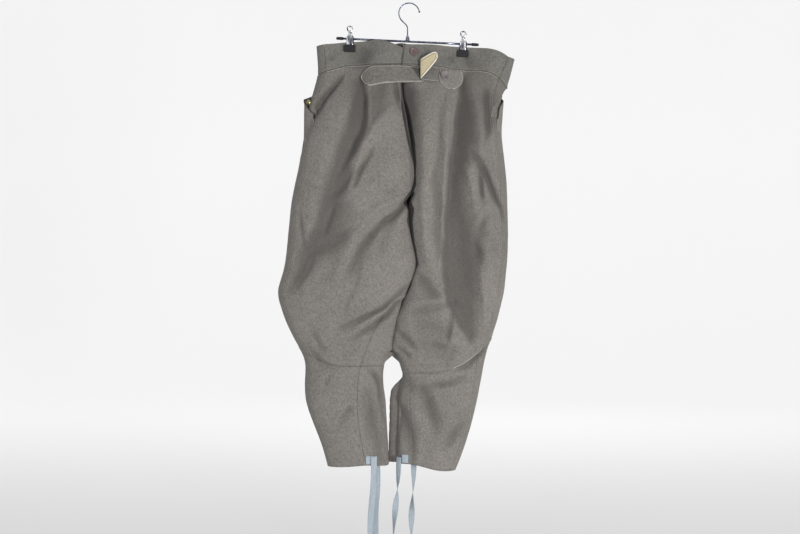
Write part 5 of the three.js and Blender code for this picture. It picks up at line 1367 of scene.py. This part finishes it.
class MakeStrap(bpy.types.Operator):
    """Make the back strap, its patch and its lined tongue"""

    bl_idname = "breeches.strap"
    bl_label = "Back Strap"

    def execute(self, context):
        self.strap()
        self.patch()
        self.tongue()
        return {"FINISHED"}

    def strap(self):
        """The strap, with painted shade along its upper edge and the tongue's shadow painted on it."""
        shares = np.linspace(0, 1, 8)
        grid = [[back_skin(x, z, 1.5) for z in top + (low - top) * shares] for x, top, low in STRAP]
        grid = relaxed(grid, 0.2, 10)
        for row, (x, _, _) in zip(grid, STRAP):
            row[:, 1] -= 2.4 * ease(x, -95, -55) * ease(x, 30, 0) + 0.6 * np.sin(shares * math.pi)
        strap, _ = self.lay(
            "cloth_strap", grid, 2.0, "wool of small pieces", "wool", "strap", "strap_base_left",
            rims=border_lines(grid[4:], 0, "r"), width=1.2,
        )
        x, _, z = points_of(strap.data).T
        edge = border_lines(grid[4:], 0, "l")[0]
        level = np.interp(x, edge[:, 0], edge[:, 2])
        # painted shade: a dark line along the strap's upper edge
        slit = ease(z - level, -0.9, -0.1) * (x > edge[0, 0])
        # painted shadow of the tongue on the strap
        tongue_shadow = 0.46 * ease(x + 4 + (z + 150) * 0.75, 0, 7) * ease(z, -145, -149)
        give(strap.data, "gap", np.maximum(slit, tongue_shadow))
        LINES["strap"] = border_lines(grid, 2.3, "lr") + border_lines(grid, 2.0, "t")

    def patch(self):
        """The patch, straight above and rounded below."""
        middle, half, top, low = PATCH
        grid = []
        for t in np.linspace(0, 1, 10):
            wide = half * (0.9 + 0.1 * ease(t, 0, 0.35))
            if t > 0.35:
                wide = half * math.sqrt(1 - ((t - 0.35) / 0.668) ** 2)
            z = top + (low - top) * t
            grid.append([back_skin(middle + wide * u, z, 0.9) for u in np.linspace(-1, 1, 9)])
        grid = relaxed(grid, 0.2)
        self.lay("patch_strap_base_right", grid, 1.3, "wool melton", "wool", "strap_base_right")
        LINES["patch"] = border_lines(grid, 2.3, "lbr")

    def tongue(self):
        """The tongue, flat up to its fold and then turned back, with its lining laid in the turned part."""
        shares = np.linspace(0, 1, 8)
        base = back_skin(26, -160, 0)[1]
        flat = []
        for x, top, low in FLAT:
            flat.append([back_skin(x, z, 3.2 + 1.4 * (66 - x) / 40) for z in top + (low - top) * shares])
        flat = relaxed(flat, 0.4)
        turned, inner = [], []
        for x, top, low, out in TONGUE:
            turned.append([(x, base - 8.6 - out, z) for z in top + (low - top) * shares])
            drawn = x if not inner else x + 0.4
            inner.append([(drawn, base - 10.0 - out, z) for z in top - 0.5 + (low - top + 1.0) * shares])
        self.lay("cloth_strap_tongue", [*flat, *turned], 1.5, "wool of small pieces", "wool", "strap_tongue")
        LINES["flat"] = [flat[:, -1] + np.array([0, 0, 2.2])]
        lining, far = self.lay(
            "cloth_tongue_lining", inner, 0.9, "cotton lining", "lining", "tongue_lining",
            rims=border_lines(inner, 0, "lbr"), width=2.0,
        )
        give(lining.data, "line", 0.75 * np.exp(-(((far - 3.9) / 0.8) ** 2)))
        LINES["lining"] = border_lines(inner, 3.4, "r")
        LINES["lining"] += [line[1:-1] for line in border_lines(inner, 3.4, "lb")]

    def lay(self, name, grid, wall, material, slot, *nodes, rims=(), width=1.0):
        """Lays one small piece, slightly uneven, with worn edges of a width and painted shade in its dips.

        Gives the piece, and how far its points lie from those edges.
        """
        obj = slab(name, grid, wall)
        points = points_of(obj.data)
        far = None
        if rims:
            far = distances(points, np.vstack([even(line, 0.8) for line in rims]))
            give(obj.data, "rim", ease(far, width + 0.5, width - 0.5))
        rise = soft_noise(points, 13, 5) * 0.35 + soft_noise(points, 30, 8) * 0.5
        points[:, 1] -= rise
        set_points(obj.data, points)
        # painted shade where the piece sinks
        give(obj.data, "hollow", np.clip(-rise / 4, 0, 1))
        cloth_uv(obj.data, points[:, 0], points[:, 2])
        hand_over(obj, material, slot, *nodes)
        return obj, far


HIPS = {"left": -200, "right": 172}  # the middle of each hip by x, round which its pocket lies
# A pocket's flap by height: how far it stands off the hip, where its free edge lies round the side (degrees,
# below 0 on the back), and how far that edge stands off.
FLAPS = {
    "left": [
        (-203, -1, 60, -1), (-210, 5, 40, 3), (-215, 11, 26, 10), (-218.5, 16, 12, 16), (-221, 18.4, 2, 18.6),
        (-227, 16.4, -14, 14), (-235, 13, -32, 8.5), (-245, 11, -46, 6), (-256, 9, -56, 4.4),
        (-267, 7, -62, 3), (-277, 5.2, -66, 1.2), (-290, 3.4, -64, -1), (-306, 1.6, -58, -1.2),
        (-324, -0.6, -50, -1.5), (-338, -1.6, -46, -1.6),
    ],
    "right": [
        (-196, -1, 58, -1), (-208, 2.5, 34, 2), (-218, 5, 14, 5), (-225, 7, -4, 7), (-231, 7.5, -28, 7),
        (-239, 7, -40, 6), (-249, 6, -45, 5), (-260, 5, -48, 4), (-271, 4, -50, 2.6), (-281, 2.4, -52, 0.6),
        (-294, 1, -50, -1), (-310, -0.6, -46, -1.4), (-326, -1.5, -42, -1.6),
    ],
}
FRONT_END = 78  # where the flaps run out on the front, in degrees


def round_the_hip(leg, angle, z, lift):
    """A place round the side of a hip: 0 degrees is the outermost line, below 0 the back."""
    side = -1 if leg == "left" else 1
    turn = math.radians(angle)
    way = unit(np.array([side * math.cos(turn), 0.72 * math.sin(turn), 0.0]))
    origin = np.array([HIPS[leg], 0, z]) + way * 110
    hit = cloth_surface().met(origin, -way)
    return (origin - way * 70 if hit is None else hit) + way * lift


class MakePockets(bpy.types.Operator):
    """Make the pocket flaps, the facings behind them and the fly's flap"""

    bl_idname = "breeches.pockets"
    bl_label = "Pockets and Fly"

    def execute(self, context):
        for leg in LEGS:
            self.flap(leg)
            self.facing(leg)
        obj = divided(cad_copy("fly_flap", "cloth_fly_flap"), context.scene.breeches_cloth.detail)
        shaped(obj, "left")
        hand_over(obj, "wool melton", "wool", "fly_flap")
        return {"FINISHED"}

    def flap(self, leg):
        """A flap, with painted shade along the upper part of its free edge."""
        grid = []
        for z, off, start, edge in FLAPS[leg]:
            knots = [start, max(start + 12, 4), max(start + 24, 40), FRONT_END]
            lifts = [edge, off, off * 0.45 - 0.4, -1.6]
            turns = np.linspace(start, FRONT_END, 12)
            grid.append([round_the_hip(leg, a, z, np.interp(a, knots, lifts)) for a in turns])
        obj = slab(f"cloth_pocket_edge_{leg}", grid, 1.8)
        points = points_of(obj.data)
        z = points[:, 2]
        slit = even([line[0] for line in grid], 0.8)[:12 * len(grid)]
        # painted shade along the upper part of the free edge, where the pocket's slit lies
        deep = ease(distances(points, slit), 3.2, 1.6) * ease(z, -216, -222) * ease(z, -272, -262)
        give(obj.data, "gap", deep)
        hand_over(obj, "wool melton", "wool", f"pocket_edge_{leg}")
        LINES[f"pocket_{leg}"] = [line[2:11] for line in border_lines(grid, 2.2, "l")]

    def facing(self, leg):
        """The facing that shows in a pocket's mouth."""
        heights, _, starts, _ = zip(*FLAPS[leg][::-1])
        grid = []
        for z in np.linspace(-203, -264, 8):
            start = np.interp(z, heights, starts)
            edge = max(start - 26, -68) + 6 * math.cos((z + 232) / 16)
            grid.append([round_the_hip(leg, a, z, 1.2) for a in np.linspace(edge, min(start + 16, 60), 7)])
        obj = slab(f"cloth_pocket_facing_{leg}", grid, 1.2)
        hand_over(obj, "wool of small pieces", "wool", f"pocket_facing_{leg}")
        LINES[f"facing_{leg}"] = border_lines(grid, 1.6, "l")


# The darts that shape the seat, by x and z.
DARTS = [
    [(-85, -194), (-82, -228), (-80, -278)],
    [(86, -210), (79, -246), (71, -282), (73, -323)],
]


class MakeStitching(bpy.types.Operator):
    """Sew the seams, the edges and the small pieces"""

    bl_idname = "breeches.stitching"
    bl_label = "Stitching"

    def execute(self, context):
        surface = cloth_surface()
        small = ClothSurface([o for o in bpy.data.objects if o.name.startswith(("patch_", "cloth_"))])
        sewn = {"pale": [], "grey": [], "brown": []}

        def sew(thread, node, side, inset, levels=(0, -2000), lift=0.12):
            """A line of stitches along a panel's side, between two heights."""
            leg = node.split("_")[-1]
            place, inner = side_named(outer_rims(node, leg), side)
            line = even(place + inner * inset)[1:-1]
            line = line[(line[:, 2] < levels[0]) & (line[:, 2] > levels[1])]
            sewn[thread].append(surface.land(line, cloth_way(line, leg), lift))

        def from_behind(line):
            return np.tile([0.0, -1.0, 0.0], (len(line), 1))

        for leg in LEGS:
            for part, thread, inset in (("back", "pale", 2.0), ("lower_back", "grey", 9.0)):
                for outer in (1.8, 7.5):
                    sew("grey", f"{part}_{leg}", leg, outer)
                sew(thread, f"{part}_{leg}", "bottom", inset)
            sew("grey", f"lower_front_{leg}", "bottom", 9.0)
            sew("grey", f"front_{leg}", "bottom", 2.0)
            for face in ("back", "front"):
                sew("grey", f"waistband_{face}_{leg}", "bottom", 1.8)
                sew("grey", f"waistband_{face}_{leg}", "top", 2.2)
            for line in LINES[f"pocket_{leg}"] + LINES[f"facing_{leg}"]:
                line = even(line, 2.5)
                sewn["grey"].append(small.land(line, cloth_way(line, leg)))
        for inset in (0.7, 1.5):  # a painted highlight: pale stitches where the ridge at the outer end of the right knee seam catches the light
            sew("pale", "back_right", "right", inset, (-790, -836), 0.35)
        for dart in DARTS:
            line = even([(x, -60.0, z) for x, z in dart], 2.5)
            sewn["brown"].append(surface.land(line, from_behind(line), 0.4))
        for key, thread in (("strap", "pale"), ("patch", "pale"), ("flat", "pale"), ("lining", "brown")):
            for line in LINES[key]:
                line = even(line, 2.5)
                sewn[thread].append(small.land(line, from_behind(line)))
        for thread, seed, stout in (("pale", 3, 1.35), ("grey", 7, 1.0), ("brown", 5, 1.5)):
            stitched(f"stitches_{thread}", sewn[thread], f"{thread} thread", seed, stout)
        return {"FINISHED"}


class MakeButtons(bpy.types.Operator):
    """Make the horn and brass buttons and the thread that holds them"""

    bl_idname = "breeches.buttons"
    bl_label = "Buttons"

    def execute(self, context):
        holes = [(-1.9, -1.9), (1.9, -1.9), (-1.9, 1.9), (1.9, 1.9)]
        threads = []
        for node, leg, material, slot in (
            ("button_waist_back", "right", "horn", "horn"),
            ("button_strap", "right", "worn horn", "horn"),
            ("button_waist_front", "left", "horn", "horn"),
            ("button_pocket_left", "left", "brass", "brass"),
            ("button_pocket_right", "right", "brass", "brass"),
        ):
            shift = self.place(node, leg) - button_frame(node)[0]
            form = (holes, 0.18) if slot == "horn" else ([], -0.3)  # a brass button bulges and has no holes
            obj, paths = turned_button(f"turned_{node}", node, shift, *form)
            hand_over(obj, material, slot, node)
            threads += [(path, "brown thread" if material == "horn" else "pale thread") for path in paths]
        for i, (path, material) in enumerate(threads):
            hand_over(tube(f"button_thread_{i + 1}", path, 0.5, 8, 0.6), material, "lining")
        return {"FINISHED"}

    def place(self, node, leg):
        """Where the back of a button sits on the finished cloth."""
        if node == "button_strap":
            return back_skin(80, -168.5, 2.9)
        if node == "button_pocket_left":
            return round_the_hip(leg, -27, -229, 3.0)
        if node == "button_pocket_right":
            return round_the_hip(leg, 16, -229, 2.4)
        foot = button_frame(node)[0]
        foot = foot + cloth_shift(foot[None], leg, bpy.context.scene.breeches_cloth)[0]
        return foot + np.array([1.5, -0.6, -5.5]) if node == "button_waist_back" else foot


class MakeTapes(bpy.types.Operator):
    """Make the cotton tie tapes at the hems"""

    bl_idname = "breeches.tapes"
    bl_label = "Tie Tapes"

    def execute(self, context):
        for leg in LEGS:
            node = f"tape_end_{leg}"
            obj = divided(cad_copy(node, f"cloth_{node}"), context.scene.breeches_cloth.detail)
            shaped(obj, leg)
            points = points_of(obj.data)
            cloth_uv(obj.data, points[:, 0], points[:, 2])
            hand_over(obj, "cotton tape", "tape", node)
        for node in (f"tape_{leg}_{face}" for leg in LEGS for face in ("back", "front")):
            obj = divided(cad_copy(node, f"cloth_{node}"), 2)
            points = points_of(obj.data)
            source = points_of(frame["nodes"][node].data)
            source = source[np.argsort(source[:, 2])]
            off_line = []
            for k in (0, 1):  # from the tape's own middle line at each height
                middle = np.convolve(np.pad(source[:, k], 9, "edge"), np.ones(19) / 19, "valid")
                off_line.append(points[:, k] - np.interp(points[:, 2], source[:, 2], middle))
            across = np.hypot(*off_line)
            points[:, 1] += soft_noise(points, 16, 13) * 0.6
            set_points(obj.data, points)
            cloth_uv(obj.data, across, points[:, 2])
            hand_over(obj, "cotton tape", "tape", node)
        return {"FINISHED"}


def box_of(node):
    """The low and the high corner of a frame node, in millimetres."""
    return np.array([list(corner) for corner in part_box(node)]) / MM


class MakeHanger(bpy.types.Operator):
    """Make the bar, clips, springs, pads, caps and hook"""

    bl_idname = "breeches.hanger"
    bl_label = "Clip Hanger"

    def execute(self, context):
        for node, material, slot, bends in (
            ("hanger_bar", "dull wire", "steel", 40),
            ("hook", "dull wire", "steel", 60),
            ("hook_ferrule", "chrome", "steel", 50),
            ("hook_collar", "chrome", "steel", 50),
            ("hook_tip", "moulded rubber", "rubber", 180),
            ("bar_cap_left", "moulded rubber", "rubber", 60),
            ("bar_cap_right", "moulded rubber", "rubber", 60),
        ):
            hand_over(divided(cad_copy(node, f"made_{node}", bends=bends), 2), material, slot, node)
        for leg in LEGS:
            for face in ("near", "far"):
                self.plate(face, leg)
                self.pad(face, leg, context.scene.breeches_fittings.pad_rib / MM)
            self.spring(leg)
            self.loop(leg)
        return {"FINISHED"}

    def plate(self, face, leg):
        """A clip's plate, drawn in to a neck below its loop."""
        obj = divided(cad_copy(f"clip_plate_{face}_{leg}", f"plate_{face}_{leg}", 0.6), 2)
        points = points_of(obj.data)
        low, high = points.min(0), points.max(0)
        middle = (low[0] + high[0]) / 2
        depth = high[2] - points[:, 2]
        points[:, 0] = middle + (points[:, 0] - middle) * (0.5 + 0.42 * ease(depth, 20, 28))
        points[:, 2] = high[2] - np.where(depth < 20, 14 + depth * 0.3, depth)
        set_points(obj.data, points)
        hand_over(obj, "chrome", "steel", f"clip_plate_{face}_{leg}")

    def loop(self, leg):
        """The round wire loop at a clip's head."""
        low, high = box_of(f"clip_plate_near_{leg}")
        middle = np.array([(low[0] + high[0]) / 2, low[1] + 3.4, high[2] - 8.8])
        turns = np.linspace(0, 2 * math.pi, 33)
        places = [middle + 5.7 * np.array([math.sin(t), 0, -math.cos(t)]) for t in turns]
        hand_over(tube(f"loop_{leg}", places, 1.75, 10), "chrome", "steel")

    def pad(self, face, leg, rib_height):
        """A pad with soft corners and fine ribs across its outside."""
        obj = cad_copy(f"clip_pad_{face}_{leg}", f"pad_{face}_{leg}", bends=70)
        bevel = obj.modifiers.new("Soft Corners", "BEVEL")
        bevel.width, bevel.segments, bevel.limit_method = 0.0006, 2, "ANGLE"
        divided(applied(obj), 2)
        points = points_of(obj.data)
        low, high = points.min(0), points.max(0)
        inward, inside = (1, points[:, 1] - low[1]) if face == "near" else (-1, high[1] - points[:, 1])
        groove = 0.5 - 0.5 * np.cos((points[:, 2] - low[2]) / 3.2 * 2 * math.pi)
        points[:, 1] += inward * groove * ease(inside, 1.2, 0) * rib_height
        set_points(obj.data, points)
        hand_over(obj, "moulded rubber", "rubber", f"clip_pad_{face}_{leg}")

    def spring(self, leg):
        """The coil round the bar."""
        low, high = box_of(f"clip_spring_{leg}")
        bar_low, bar_high = box_of("hanger_bar")
        thick, turns, steps, length = 0.85, 6, 18, 9.4
        r = (high[1] - low[1]) / 2 - thick
        drop = -math.atan((bar_high[2] - bar_low[2] - 5) / (bar_high[0] - bar_low[0]))
        along = np.array([math.cos(drop), 0, math.sin(drop)])
        up = np.array([-math.sin(drop), 0, math.cos(drop)])
        places = []
        for i in range(turns * steps + 1):
            t = 2 * math.pi * i / steps
            x = (i / (turns * steps) - 0.5) * length
            round_bar = up * r * math.cos(t) + np.array([0, r * math.sin(t), 0])
            places.append((low + high) / 2 + along * x + round_bar)
        hand_over(tube(f"coil_{leg}", places, thick, 8), "chrome", "steel", f"clip_spring_{leg}")


def soft_box(name, place, size, power, tint):
    """A large square lamp that faces the breeches' middle."""
    data = bpy.data.lights.new(name, "AREA")
    data.shape = "RECTANGLE"
    data.size, data.size_y = size
    data.energy = power
    data.color = tint
    lamp = add_object(name, data)
    lamp.location = place
    lamp.rotation_euler = (Vector((0.0, 0.0, -0.6)) - Vector(place)).to_track_quat("-Z", "Y").to_euler()


class MakeStage(bpy.types.Operator):
    """Set the camera, the lamps and a pale studio cove"""

    bl_idname = "breeches.stage"
    bl_label = "Stage"

    def execute(self, context):
        stage = context.scene.breeches_stage
        view = bpy.data.cameras.new("camera")
        view.lens, view.sensor_width = stage.lens, 36
        camera = add_object("camera", view)
        camera.location = (stage.aside, -stage.distance, stage.height)
        camera.rotation_euler = (math.pi / 2, 0, 0)
        context.scene.camera = camera

        soft_box("key lamp", (1.35, -2.5, -0.8), (0.5, 1.0), stage.key, (1, 0.99, 0.975))
        soft_box("fill lamp", (-1.8, -2.2, 0.0), (1.8, 1.8), stage.fill, (0.95, 0.975, 1))
        soft_box("rear lamp", (0.6, 2.4, 0.5), (1.4, 1.4), stage.fill, (1, 1, 1))

        world = bpy.data.worlds.new("pale room")
        world.use_nodes = True
        back = world.node_tree.nodes["Background"]
        back.inputs["Color"].default_value = (1, 1, 1, 1)
        back.inputs["Strength"].default_value = 0.5
        context.scene.world = world
        context.scene.view_settings.view_transform = "Standard"

        self.cove()
        return {"FINISHED"}

    def cove(self):
        """A round floor that curves up into a wall on every side."""
        foot = CAD_BOX[0][2] - 0.02
        flat, bend = 3.4, 1.4  # radius of the flat floor, and of the curve round it
        profile = [(0.02, 0), (1.0, 0), (2.2, 0), (flat, 0)]
        for t in np.linspace(0, math.pi / 2, 13)[1:]:
            profile.append((flat + bend * math.sin(t), bend - bend * math.cos(t)))
        profile += [(flat + bend, 2.6), (flat + bend, 4.2)]
        sides = 72
        turns = [2 * math.pi * k / sides for k in range(sides)]
        bm = bmesh.new()
        rings = [
            [bm.verts.new((r * math.cos(t), r * math.sin(t), foot + h)) for t in turns] for r, h in profile
        ]
        for low, high in zip(rings, rings[1:]):
            for k in range(sides):
                bm.faces.new((low[k], high[k], high[(k + 1) % sides], low[(k + 1) % sides]))
        bm.faces.new(rings[0])
        bmesh.ops.recalc_face_normals(bm, faces=bm.faces)
        bm.faces.ensure_lookup_table()
        if bm.faces[-1].normal.z < 0:
            bmesh.ops.reverse_faces(bm, faces=bm.faces)
        cove = from_bmesh(bm, "studio_cove")
        cove.data.shade_smooth()
        cove.data.materials.append(finish("painted board"))


OPERATORS = (MakePanels, MakeStrap, MakePockets, MakeStitching, MakeButtons, MakeTapes, MakeHanger, MakeStage)


class BreechesPanel(bpy.types.Panel):
    """The breeches' sizes, colours and steps"""

    bl_idname = "VIEW3D_PT_breeches"
    bl_label = "Uniform Breeches"
    bl_space_type = "VIEW_3D"
    bl_region_type = "UI"
    bl_category = "Breeches"

    def draw(self, context):
        layout = self.layout
        for name, group in GROUPS.items():
            box = layout.box()
            for key in group.__annotations__:
                box.prop(getattr(context.scene, name), key)
        column = layout.column(align=True)
        for operator in OPERATORS:
            column.operator(operator.bl_idname)


CLASSES = (*GROUPS.values(), *OPERATORS, BreechesPanel)


def register():
    for cls in CLASSES:
        bpy.utils.register_class(cls)
    for name, group in GROUPS.items():
        setattr(bpy.types.Scene, name, bpy.props.PointerProperty(type=group))


def unregister():
    for name in GROUPS:
        delattr(bpy.types.Scene, name)
    for cls in reversed(CLASSES):
        bpy.utils.unregister_class(cls)


def main():
    register()
    for operator in OPERATORS:
        family, step = operator.bl_idname.split(".")
        getattr(getattr(bpy.ops, family), step)()


if __name__ == "__main__":
    main()
